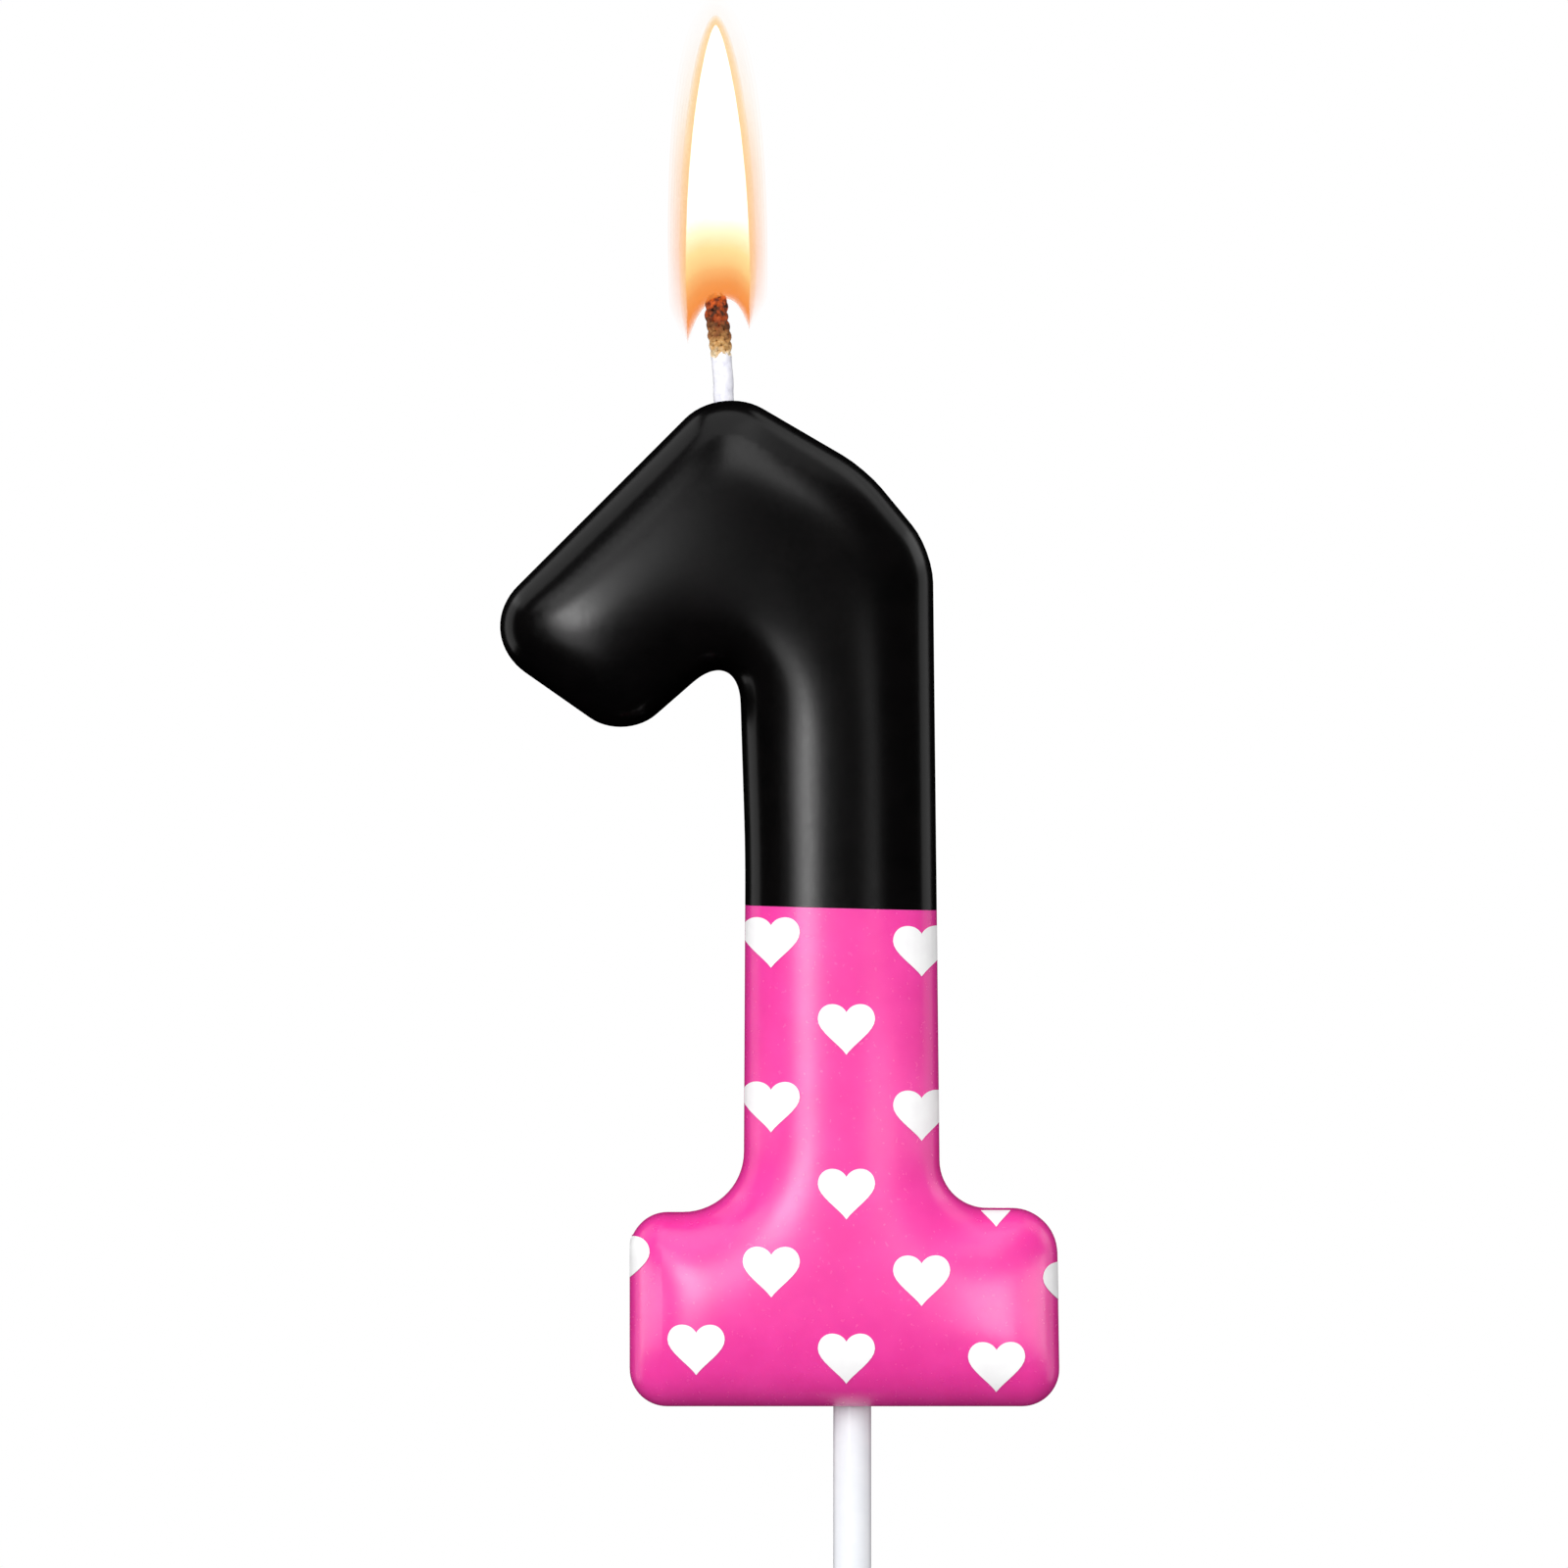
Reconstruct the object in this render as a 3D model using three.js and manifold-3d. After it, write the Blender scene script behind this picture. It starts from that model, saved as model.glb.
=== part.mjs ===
// A lit number candle: a puffy wax figure 1, black above and pink with white hearts below, on a
// plastic stick. Millimetres, +Z up. The face looks along -Y. The origin is the middle of the
// stick's flat lower end, so the stick's axis is the Z axis.
import * as THREE from 'three';
import { mergeVertices } from 'three/addons/utils/BufferGeometryUtils.js';
import Module from 'manifold-3d';

const wasm = await Module();
wasm.setup();

// ---- Driving dimensions ------------------------------------------------------------------

// Stick: a plain plastic rod with two rings near its top that grip the wax.
const STICK_DIAMETER = 2.64;
const STICK_EXPOSED = 50; // from the foot's underside down to the stick's end
const STICK_IN_WAX = 18;
const STICK_CHAMFER = 0.3;
const GRIP_RING_RISE = 0.25;
const GRIP_RING_WIDTH = 1.6;
const GRIP_RING_SPACING = 5;
const SOCKET_CLEARANCE = 0.05;
const STICK_SIDES = 20;

// Numeral seen from the front: heights from the foot's underside, reaches from the stick's axis.
const NUMERAL_HEIGHT = 70;
const NUMERAL_THICKNESS = 12;
const STEM_REACH_LEFT = 7.55;
const STEM_REACH_RIGHT = 5.75; // at the shoulder
const STEM_SPREAD = 0.4; // the stem's right edge leans out by this much on its way to the foot
const FOOT_REACH_LEFT = 15.5;
const FOOT_REACH_RIGHT = 14.45;
const FOOT_HEIGHT = 13.6;
const APEX_REACH = 9.3; // the apex's sharp corner stands left of the stick's axis
const APEX_ROUND_SHIFT = 0.35; // the rounded apex stands this much to the right of its corner
const APEX_CORNER_RISE = 1.2; // the sharp apex corner, before rounding, above the rounded apex
const SHOULDER_DROP = 7.4; // the shoulder's corner below the top of the numeral
const NOTCH_DROP = 17.1; // the notch's corner, under the arm, below the top of the numeral
const ARM_REACH = 26.7; // the arm's sharp end corner
const ARM_SLOPE = THREE.MathUtils.degToRad(45);
const ARM_END_WIDTH = 12.95; // between the two sharp corners of the arm's end
const ARM_END_SLOPE = THREE.MathUtils.degToRad(35);

// Corner rounding, in the order of the corners.
const APEX_RADIUS = 4.7;
const SHOULDER_RADIUS = 12.5;
const FOOT_INNER_RADIUS_RIGHT = 3.1;
const FOOT_INNER_RADIUS_LEFT = 4.4;
const FOOT_CORNER_RADIUS = 2.6;
const NOTCH_RADIUS = 1.7;
const ARM_UNDER_RADIUS = 4.1;
const ARM_TIP_RADIUS = 3.7;
const LEAST_RADIUS = 0.3;
const EDGE_FILL = 0.97; // the roundings at an edge's two ends take at most this share of it
const ARC_STEP = THREE.MathUtils.degToRad(22.5);

// Crown: the faces swell from a flat band round the edge to the full thickness.
const EDGE_BAND = 3.4; // width of the flat band that the moulds leave round the edge
const CROWN_RUN = 5.9; // how far in from the edge the face reaches its full height
const CROWN_SHARE = 0.46; // the crown takes at most this share of the narrowest limb's width
const CROWN_STEPS = 5;

// Wax coats.
const COAT_THICKNESS = 0.4;
const COAT_GAP = 0.05; // between the core and the coats
const PINK_HEIGHT = 34.7; // the dip line above the foot's underside, on the stick's axis
const DIP_SLOPE = THREE.MathUtils.degToRad(-1.5);
const DIP_GAP = 0.1; // between the two coats

// Printed hearts: columns side by side, every second one half a pitch higher, sinking to the right.
const HEART_WIDTH = 3.95;
const HEART_HEIGHT = 3.5;
const HEART_COLUMN = 5.2;
const HEART_PITCH = 11.6;
const HEART_SINK = 0.3; // each column sits this much lower than the one on its left
const HEART_FIRST_X = -0.44; // tip of the lowest heart on the middle column
const HEART_FIRST_Z = 1.46;
const PRINT_THICKNESS = 0.12;
const PRINT_GAP = 0.02;
const PRINT_EDGE = 1; // the print stops this far in front of the flat band
const LEAST_PRINT_AREA = 0.4; // a smaller scrap of a heart is left out
const HEART_CURVE_STEPS = 3;

// Wick, with the wax that primes its foot.
const WICK_DIAMETER = 1.3;
const WICK_EXPOSED = 7.6;
const WICK_LEAN = 0.5; // the tip leans this far to the left
const WICK_ABOVE_STICK = 6;
// Inside the wax: how far across from the stem's middle to the apex, and how far below the apex.
const WICK_ROUTE = [[0.08, 19], [0.5, 10], [0.93, 4], [1, 0]];
// Outside: the share of the lean at a share of the exposed length.
const WICK_LEAN_ROUTE = [[0.3, 0.5], [1, 1]];
const WICK_CLEARANCE = 0.06;
const WICK_SIDES = 8;
const WICK_STEPS = 30;
const SLEEVE_WALL = 0.12;
const SLEEVE_BELOW = 0.8; // how far the sleeve starts below the apex
const SLEEVE_ABOVE = 3.2;
const SLEEVE_CLEARANCE = 0.04;

// Flame: a teardrop, hollow underneath, around the wick's tip.
const FLAME_DIAMETER = 5.06;
const FLAME_MOUTH_DIAMETER = 4.3;
const FLAME_UNDER_WIDEST = 4.4; // the mouth's height below the widest place
const FLAME_OVER_WIDEST = 18;
const FLAME_TAPER_POWER = 2.1;
const FLAME_ROOF_ABOVE_WICK = 0.25; // the hollow's roof over the wick's tip
const FLAME_HOLLOW_HEIGHT = 3.4;
const FLAME_HOLLOW_POWER = 2.6;
const FLAME_HOLLOW_STEPS = 5;
const FLAME_STEPS = 10;
const FLAME_SIDES = 16;

// ---- Solids ------------------------------------------------------------------------------

// A closed three.js geometry as a solid that can be joined and cut.
function toSolid(geometry) {
  const bare = geometry.index ? geometry.toNonIndexed() : geometry.clone();
  bare.deleteAttribute('normal');
  bare.deleteAttribute('uv');
  const merged = mergeVertices(bare, 1e-4);
  return new wasm.Manifold(new wasm.Mesh({
    numProp: 3,
    vertProperties: new Float32Array(merged.attributes.position.array),
    triVerts: new Uint32Array(merged.index.array),
  }));
}

// A solid as a three.js geometry.
function toGeometry(solid) {
  const mesh = solid.getMesh();
  const geometry = new THREE.BufferGeometry();
  const corners = new Float32Array(mesh.numVert * 3);
  for (let i = 0; i < mesh.numVert; i += 1) {
    for (let j = 0; j < 3; j += 1) corners[3 * i + j] = mesh.vertProperties[mesh.numProp * i + j];
  }
  geometry.setAttribute('position', new THREE.BufferAttribute(corners, 3));
  geometry.setIndex(new THREE.BufferAttribute(new Uint32Array(mesh.triVerts), 1));
  geometry.computeVertexNormals();
  return geometry;
}

// A box between two corners.
function block(low, high) {
  const size = new THREE.Vector3().subVectors(high, low);
  const middle = new THREE.Vector3().addVectors(low, high).multiplyScalar(0.5);
  return new THREE.BoxGeometry(size.x, size.y, size.z).translate(middle.x, middle.y, middle.z);
}

// A solid turned about the Z axis from (radius, height) points that start and end on the axis.
function turned(profile, sides) {
  const points = profile.map(([r, z]) => new THREE.Vector2(r, z));
  return toSolid(new THREE.LatheGeometry(points, sides).rotateX(Math.PI / 2));
}

// A round rod along a curve.
function rod(curve, radius, sides, steps) {
  const section = new THREE.Shape();
  for (let i = 0; i < sides; i += 1) {
    const angle = (2 * Math.PI * i) / sides;
    const corner = [radius * Math.cos(angle), radius * Math.sin(angle)];
    if (i === 0) section.moveTo(...corner);
    else section.lineTo(...corner);
  }
  section.closePath();
  return toSolid(new THREE.ExtrudeGeometry(section, { steps, bevelEnabled: false, extrudePath: curve }));
}

// ---- The numeral's shape -----------------------------------------------------------------

const stemMiddle = (STEM_REACH_RIGHT - STEM_REACH_LEFT) / 2;

// The sharp corners of the numeral, clockwise from the apex, each with its rounding.
function numeralCorners() {
  const apex = new THREE.Vector2(-APEX_REACH, NUMERAL_HEIGHT + APEX_CORNER_RISE);
  const armTip = new THREE.Vector2(-ARM_REACH, apex.y - (ARM_REACH - APEX_REACH) * Math.tan(ARM_SLOPE));
  const armUnder = new THREE.Vector2(
    armTip.x + ARM_END_WIDTH * Math.cos(ARM_END_SLOPE),
    armTip.y - ARM_END_WIDTH * Math.sin(ARM_END_SLOPE),
  );
  const at = (x, z, radius) => ({ point: new THREE.Vector2(x, z), radius });
  return [
    at(apex.x, apex.y, APEX_RADIUS),
    at(STEM_REACH_RIGHT, NUMERAL_HEIGHT - SHOULDER_DROP, SHOULDER_RADIUS),
    at(STEM_REACH_RIGHT + STEM_SPREAD, FOOT_HEIGHT, FOOT_INNER_RADIUS_RIGHT),
    at(FOOT_REACH_RIGHT, FOOT_HEIGHT, FOOT_CORNER_RADIUS),
    at(FOOT_REACH_RIGHT, 0, FOOT_CORNER_RADIUS),
    at(-FOOT_REACH_LEFT, 0, FOOT_CORNER_RADIUS),
    at(-FOOT_REACH_LEFT, FOOT_HEIGHT, FOOT_CORNER_RADIUS),
    at(-STEM_REACH_LEFT, FOOT_HEIGHT, FOOT_INNER_RADIUS_LEFT),
    at(-STEM_REACH_LEFT, NUMERAL_HEIGHT - NOTCH_DROP, NOTCH_RADIUS),
    at(armUnder.x, armUnder.y, ARM_UNDER_RADIUS),
    at(armTip.x, armTip.y, ARM_TIP_RADIUS),
  ];
}

// One sharp corner moved in by an inset: its place, how far the outline turns there, and the
// radius it wants. Outer corners lose the inset from their radius and inner corners gain it.
function insetCorner(corners, i, inset) {
  const { point, radius } = corners[i];
  const before = corners[(i + corners.length - 1) % corners.length].point;
  const after = corners[(i + 1) % corners.length].point;
  const along = new THREE.Vector2().subVectors(point, before).normalize();
  const onward = new THREE.Vector2().subVectors(after, point).normalize();
  const inward = new THREE.Vector2(along.y, -along.x);
  const inwardAfter = new THREE.Vector2(onward.y, -onward.x);
  const diagonal = new THREE.Vector2().addVectors(inward, inwardAfter);
  diagonal.divideScalar(1 + inward.dot(inwardAfter));
  const turn = Math.atan2(inward.cross(inwardAfter), inward.dot(inwardAfter));
  const side = turn < 0 ? 1 : -1;
  const wanted = side > 0 ? Math.max(radius - inset, LEAST_RADIUS) : radius + inset;
  const place = point.clone().addScaledVector(diagonal, inset);
  return { place, inward, diagonal, turn, side, wanted, tangent: wanted * Math.tan(Math.abs(turn) / 2) };
}

// The rounded outline, moved in from the edge by an inset (or out, where it is negative). Where
// two roundings would meet on the edge between them, both are made smaller. Every inset has the
// same number of points, so outlines at two insets can be joined point to point.
function numeralOutline(inset) {
  const sharp = numeralCorners();
  const corners = sharp.map((_, i) => insetCorner(sharp, i, inset));
  const room = corners.map((corner, i) => {
    const next = corners[(i + 1) % corners.length];
    return (EDGE_FILL * corner.place.distanceTo(next.place)) / (corner.tangent + next.tangent);
  });
  return corners.flatMap(({ place, inward, diagonal, turn, side, wanted }, i) => {
    const rounding = wanted * Math.min(1, room[i], room[(i + corners.length - 1) % corners.length]);
    const centre = place.clone().addScaledVector(diagonal, side * rounding);
    const steps = Math.ceil(Math.abs(turn) / ARC_STEP);
    return Array.from({ length: steps + 1 }, (_, k) => {
      const spoke = inward.clone().rotateAround(new THREE.Vector2(), (turn * k) / steps);
      return centre.clone().addScaledVector(spoke, -side * rounding);
    });
  });
}

// The crown stops short of the middle of the narrowest limb.
const narrowestLimb = Math.min(STEM_REACH_LEFT + STEM_REACH_RIGHT, FOOT_HEIGHT, ARM_END_WIDTH);
const crownRun = Math.min(CROWN_RUN, CROWN_SHARE * narrowestLimb);

// The whole numeral as a solid, grown evenly outwards (or shrunk, where grow is negative).
function numeralSolid(grow) {
  const bandHalf = EDGE_BAND / 2;
  const crownRise = NUMERAL_THICKNESS / 2 - bandHalf;
  const rings = [];
  for (let k = -CROWN_STEPS; k <= CROWN_STEPS; k += 1) {
    const swell = (Math.abs(k) / CROWN_STEPS) * (Math.PI / 2);
    const inset = crownRun * (1 - Math.cos(swell)) - grow * Math.cos(swell);
    const depth = bandHalf + crownRise * Math.sin(swell) + grow * Math.sin(swell);
    const outline = numeralOutline(inset);
    if (k <= 0) rings.push(outline.map((p) => new THREE.Vector3(p.x, -depth, p.y)));
    if (k >= 0) rings.push(outline.map((p) => new THREE.Vector3(p.x, depth, p.y)));
  }
  return toSolid(loft(rings)).translate([0, 0, STICK_EXPOSED]);
}

// A skin over a row of rings with equal numbers of points, from the front (-Y) to the back,
// closed by a flat face at each end.
function loft(rings) {
  const count = rings[0].length;
  const triangles = [];
  for (let r = 0; r + 1 < rings.length; r += 1) {
    for (let i = 0; i < count; i += 1) {
      const a = r * count + i;
      const b = r * count + ((i + 1) % count);
      triangles.push(a, b, a + count, b, b + count, a + count);
    }
  }
  const flat = rings[0].map((p) => new THREE.Vector2(p.x, p.z));
  const flatBack = rings.at(-1).map((p) => new THREE.Vector2(p.x, p.z));
  const last = (rings.length - 1) * count;
  THREE.ShapeUtils.triangulateShape(flat, []).forEach(([a, b, c]) => triangles.push(a, b, c));
  THREE.ShapeUtils.triangulateShape(flatBack, []).forEach(([a, b, c]) => {
    triangles.push(last + a, last + c, last + b);
  });
  const geometry = new THREE.BufferGeometry().setFromPoints(rings.flat());
  geometry.setIndex(triangles);
  return geometry;
}

// Everything below the sloping dip line, lowered or raised by a shift, or everything above it.
function besideDipLine(above, shift) {
  const far = 3 * NUMERAL_HEIGHT;
  const low = new THREE.Vector3(-far, -far, above ? shift : -far);
  const high = new THREE.Vector3(far, far, above ? far : shift);
  const half = block(low, high);
  half.rotateY(-DIP_SLOPE);
  return toSolid(half.translate(0, 0, STICK_EXPOSED + PINK_HEIGHT));
}

// ---- Stick -------------------------------------------------------------------------------

// The stick's profile, or its socket's where a clearance is given: (radius, height) points.
function stickProfile(clearance) {
  const radius = STICK_DIAMETER / 2 + clearance;
  const top = STICK_EXPOSED + STICK_IN_WAX + clearance;
  const half = GRIP_RING_WIDTH / 2;
  const profile = [[0, 0], [radius - STICK_CHAMFER, 0], [radius, STICK_CHAMFER]];
  for (const below of [2 * GRIP_RING_SPACING, GRIP_RING_SPACING]) {
    const middle = STICK_EXPOSED + STICK_IN_WAX - below;
    profile.push([radius, middle - half - clearance]);
    profile.push([radius + GRIP_RING_RISE, middle - half / 2 - clearance]);
    profile.push([radius + GRIP_RING_RISE, middle + half / 2 + clearance]);
    profile.push([radius, middle + half + clearance]);
  }
  profile.push([radius, top - STICK_CHAMFER], [radius - STICK_CHAMFER, top], [0, top]);
  return profile;
}

const makeStick = () => turned(stickProfile(0), STICK_SIDES);
const makeSocket = () => turned(stickProfile(SOCKET_CLEARANCE), STICK_SIDES);

// ---- Wick --------------------------------------------------------------------------------

// The wick's route from below: up the stem's middle, across to the apex, and out with a lean.
function wickCurve(endTrim) {
  const apex = STICK_EXPOSED + NUMERAL_HEIGHT;
  const bottom = STICK_EXPOSED + STICK_IN_WAX + WICK_ABOVE_STICK - endTrim;
  const across = APEX_ROUND_SHIFT - APEX_REACH - stemMiddle;
  const inside = WICK_ROUTE.map(([share, drop]) => [stemMiddle + share * across, apex - drop]);
  const outside = WICK_LEAN_ROUTE.map(([share, rise]) => {
    return [stemMiddle + across - share * WICK_LEAN, apex + rise * WICK_EXPOSED];
  });
  const route = [[stemMiddle, bottom], [stemMiddle, (bottom + apex) / 2], ...inside, ...outside];
  return new THREE.CatmullRomCurve3(
    route.map(([x, z]) => new THREE.Vector3(x, 0, z)),
    false,
    'centripetal',
  );
}

const makeWick = () => rod(wickCurve(0), WICK_DIAMETER / 2, WICK_SIDES, WICK_STEPS);

// The channel that holds the wick, with a wider mouth for the wax sleeve.
function makeChannel() {
  const channel = rod(wickCurve(WICK_CLEARANCE), WICK_DIAMETER / 2 + WICK_CLEARANCE, WICK_SIDES, WICK_STEPS);
  const radius = WICK_DIAMETER / 2 + WICK_CLEARANCE + SLEEVE_WALL + SLEEVE_CLEARANCE;
  const wide = rod(wickCurve(0), radius, WICK_SIDES, WICK_STEPS);
  const floor = STICK_EXPOSED + NUMERAL_HEIGHT - SLEEVE_BELOW - SLEEVE_CLEARANCE;
  return channel.add(wide.intersect(slab(floor, floor + NUMERAL_HEIGHT)));
}

// A level layer between two heights, wider than the candle.
function slab(low, high) {
  const far = 2 * NUMERAL_HEIGHT;
  return toSolid(block(new THREE.Vector3(-far, -far, low), new THREE.Vector3(far, far, high)));
}

// The wax that still clings to the foot of the bare wick.
function makeWickSleeve() {
  const apex = STICK_EXPOSED + NUMERAL_HEIGHT;
  const inner = WICK_DIAMETER / 2 + WICK_CLEARANCE;
  const outside = rod(wickCurve(0), inner + SLEEVE_WALL, WICK_SIDES, WICK_STEPS);
  const inside = rod(wickCurve(0), inner, WICK_SIDES, WICK_STEPS);
  return outside.subtract(inside).intersect(slab(apex - SLEEVE_BELOW, apex + SLEEVE_ABOVE));
}

// ---- Wax ---------------------------------------------------------------------------------

// The cast numeral under the coats, with the stick's socket and the wick's channel.
function makeWaxCore() {
  return numeralSolid(-COAT_THICKNESS - COAT_GAP).subtract(makeSocket()).subtract(makeChannel());
}

// The coat over the whole numeral, open where the stick and the wick come through.
function makeCoat() {
  const skin = numeralSolid(0).subtract(numeralSolid(-COAT_THICKNESS));
  return skin.subtract(makeSocket()).subtract(makeChannel());
}

const makeBlackCoat = () => makeCoat().intersect(besideDipLine(true, DIP_GAP / 2));
const makePinkCoat = () => makeCoat().intersect(besideDipLine(false, -DIP_GAP / 2));

// ---- Printed hearts ----------------------------------------------------------------------

// A heart with its tip at the origin, as a prism along Y between two depths.
function heartPrism(low, high) {
  const w = HEART_WIDTH / 2;
  const h = HEART_HEIGHT;
  const heart = new THREE.Shape();
  heart.moveTo(0, 0);
  heart.bezierCurveTo(0.25 * w, 0.21 * h, w, 0.46 * h, w, 0.7 * h);
  heart.bezierCurveTo(w, 0.88 * h, 0.78 * w, h, 0.5 * w, h);
  heart.bezierCurveTo(0.28 * w, h, 0.1 * w, 0.94 * h, 0, 0.84 * h);
  heart.bezierCurveTo(-0.1 * w, 0.94 * h, -0.28 * w, h, -0.5 * w, h);
  heart.bezierCurveTo(-0.78 * w, h, -w, 0.88 * h, -w, 0.7 * h);
  heart.bezierCurveTo(-w, 0.46 * h, -0.25 * w, 0.21 * h, 0, 0);
  const options = { depth: high - low, bevelEnabled: false, curveSegments: HEART_CURVE_STEPS };
  return toSolid(new THREE.ExtrudeGeometry(heart, options).rotateX(Math.PI / 2).translate(0, high, 0));
}

// The tips of all hearts that could fall on the pink half, in rows from the top down.
function heartTips() {
  const columns = Math.ceil((Math.max(FOOT_REACH_LEFT, FOOT_REACH_RIGHT) + HEART_WIDTH) / HEART_COLUMN);
  const tips = [];
  for (let i = -columns; i <= columns; i += 1) {
    const start = HEART_FIRST_Z - i * HEART_SINK + (i % 2 === 0 ? 0 : HEART_PITCH / 2);
    for (let z = start - HEART_PITCH; z < PINK_HEIGHT + HEART_HEIGHT; z += HEART_PITCH) {
      tips.push({ x: HEART_FIRST_X + i * HEART_COLUMN, z });
    }
  }
  return tips.sort((a, b) => b.z - a.z || a.x - b.x);
}

// The printed patches on the front (side -1) or the back (side 1) of the pink coat.
function makeHearts(side) {
  const under = numeralSolid(PRINT_GAP);
  const layer = numeralSolid(PRINT_GAP + PRINT_THICKNESS).subtract(under);
  const pinkLayer = layer.intersect(besideDipLine(false, -DIP_GAP / 2));
  const near = EDGE_BAND / 2 + PRINT_EDGE;
  const prism = side < 0 ? heartPrism(-NUMERAL_THICKNESS, -near) : heartPrism(near, NUMERAL_THICKNESS);
  return heartTips()
    .map(({ x, z }) => pinkLayer.intersect(prism.translate([x, 0, STICK_EXPOSED + z])))
    .filter((patch) => patch.volume() > LEAST_PRINT_AREA * PRINT_THICKNESS);
}

// ---- Flame -------------------------------------------------------------------------------

// The flame's outer radius at a height above its mouth: it spreads to its widest, then tapers.
function flameRadius(height) {
  const mouth = FLAME_MOUTH_DIAMETER / 2;
  const widest = FLAME_DIAMETER / 2;
  const spread = Math.min(1, height / FLAME_UNDER_WIDEST);
  const taper = Math.max(0, (height - FLAME_UNDER_WIDEST) / FLAME_OVER_WIDEST);
  if (taper >= 1) return 0;
  return (mouth + (widest - mouth) * (1 - (1 - spread) ** 2)) * Math.sqrt(1 - taper ** FLAME_TAPER_POWER);
}

// A teardrop turned about the wick tip's upright axis, with a hollow that the wick stands in.
function makeFlame() {
  const wickTip = wickCurve(0).getPoint(1);
  const roof = wickTip.z + FLAME_ROOF_ABOVE_WICK;
  const mouth = roof - FLAME_HOLLOW_HEIGHT;
  const height = FLAME_UNDER_WIDEST + FLAME_OVER_WIDEST;
  const hollow = Array.from({ length: FLAME_HOLLOW_STEPS }, (_, k) => {
    const out = k / FLAME_HOLLOW_STEPS;
    return [(FLAME_MOUTH_DIAMETER / 2) * out, roof - FLAME_HOLLOW_HEIGHT * out ** FLAME_HOLLOW_POWER];
  });
  const skin = Array.from({ length: FLAME_STEPS + 1 }, (_, k) => {
    const up = Math.sin((k / FLAME_STEPS) * (Math.PI / 2)) * height;
    return [flameRadius(up), mouth + up];
  });
  return turned([...hollow, ...skin], FLAME_SIDES).translate([wickTip.x, wickTip.y, 0]);
}

// ---- Assembly ----------------------------------------------------------------------------

const candle = new THREE.Group();

function addPiece(name, solid, color, roughness, options = {}) {
  const material = new THREE.MeshStandardMaterial({ color, roughness, metalness: 0, ...options });
  const mesh = new THREE.Mesh(toGeometry(solid), material);
  mesh.name = name;
  candle.add(mesh);
}

const number = (i) => String(i + 1).padStart(2, '0');

addPiece('wax_core', makeWaxCore(), 0xf4f0e6, 0.5);
addPiece('black_coat', makeBlackCoat(), 0x161517, 0.35);
addPiece('pink_coat', makePinkCoat(), 0xf8399b, 0.35);
makeHearts(-1).forEach((patch, i) => addPiece(`heart_front_${number(i)}`, patch, 0xffffff, 0.45));
makeHearts(1).forEach((patch, i) => addPiece(`heart_back_${number(i)}`, patch, 0xffffff, 0.45));
addPiece('wick', makeWick(), 0x8a5a33, 0.9);
addPiece('wick_wax_sleeve', makeWickSleeve(), 0xece8f2, 0.4);
addPiece('stick', makeStick(), 0xf4f4f6, 0.25);
addPiece('flame', makeFlame(), 0xffc066, 1, { emissive: 0xff9a3c, transparent: true, opacity: 0.8 });

export default candle;
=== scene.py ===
# %% [markdown]
# # A lit number candle, step by step
# The candle is a puffy wax figure 1 on a plastic stick. It is black above and pink with white
# hearts below, and its wick is alight. The solids come from the CAD frame, and this lesson gives
# each of them its real surface. Lengths are written in millimetres and turned into metres once.

# %% Load the frame
import math
import random
import bmesh
import bpy
import numpy as np
from mathutils import Matrix, Quaternion, Vector


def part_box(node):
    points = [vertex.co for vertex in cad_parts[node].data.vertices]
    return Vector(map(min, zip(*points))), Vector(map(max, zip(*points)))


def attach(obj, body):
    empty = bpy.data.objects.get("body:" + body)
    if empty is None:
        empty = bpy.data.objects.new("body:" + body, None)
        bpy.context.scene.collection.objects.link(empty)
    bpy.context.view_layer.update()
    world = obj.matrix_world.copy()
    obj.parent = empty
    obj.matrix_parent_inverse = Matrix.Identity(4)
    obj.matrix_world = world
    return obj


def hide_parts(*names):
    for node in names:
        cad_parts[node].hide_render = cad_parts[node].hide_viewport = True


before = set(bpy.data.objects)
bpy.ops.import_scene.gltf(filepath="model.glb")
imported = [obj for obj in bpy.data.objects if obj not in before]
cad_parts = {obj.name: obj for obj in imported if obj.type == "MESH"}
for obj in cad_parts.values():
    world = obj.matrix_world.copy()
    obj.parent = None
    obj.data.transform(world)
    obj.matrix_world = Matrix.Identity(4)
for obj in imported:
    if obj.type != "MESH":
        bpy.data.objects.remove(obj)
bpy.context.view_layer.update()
MM = 0.001


# %% Helpers that every step uses
CREASE = math.radians(50)
TOUCH = 1e-7  # points closer than this, in metres, are one point


def finish_piece(name, bm, material, nodes=()):
    """Turn a bmesh into an object that rides on the candle and stands for its CAD nodes."""
    mesh = bpy.data.meshes.new(name)
    for edge in bm.edges:
        edge.smooth = edge.calc_face_angle(0) < CREASE
    bm.to_mesh(mesh)
    bm.free()
    mesh.polygons.foreach_set("use_smooth", [True] * len(mesh.polygons))
    piece = bpy.data.objects.new(name, mesh)
    bpy.context.scene.collection.objects.link(piece)
    mesh.materials.append(material)
    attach(piece, "root")
    if nodes:
        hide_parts(*nodes)
    return piece


def inside_volume(bm):
    """Volume in cubic millimetres, which is negative on a mesh that is inside out."""
    return bm.calc_volume(signed=True) / MM ** 3


def turn_outward(bm):
    """Point every face of a closed mesh outward."""
    bmesh.ops.recalc_face_normals(bm, faces=bm.faces[:])
    if inside_volume(bm) < 0:
        bmesh.ops.reverse_faces(bm, faces=bm.faces[:])


# %% [markdown]
# ## Camera
# A long lens set level with the middle of the figure keeps the edges of the numeral parallel.
# The view is a little smaller than the candle is tall, so the stick runs out of it below.

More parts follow.
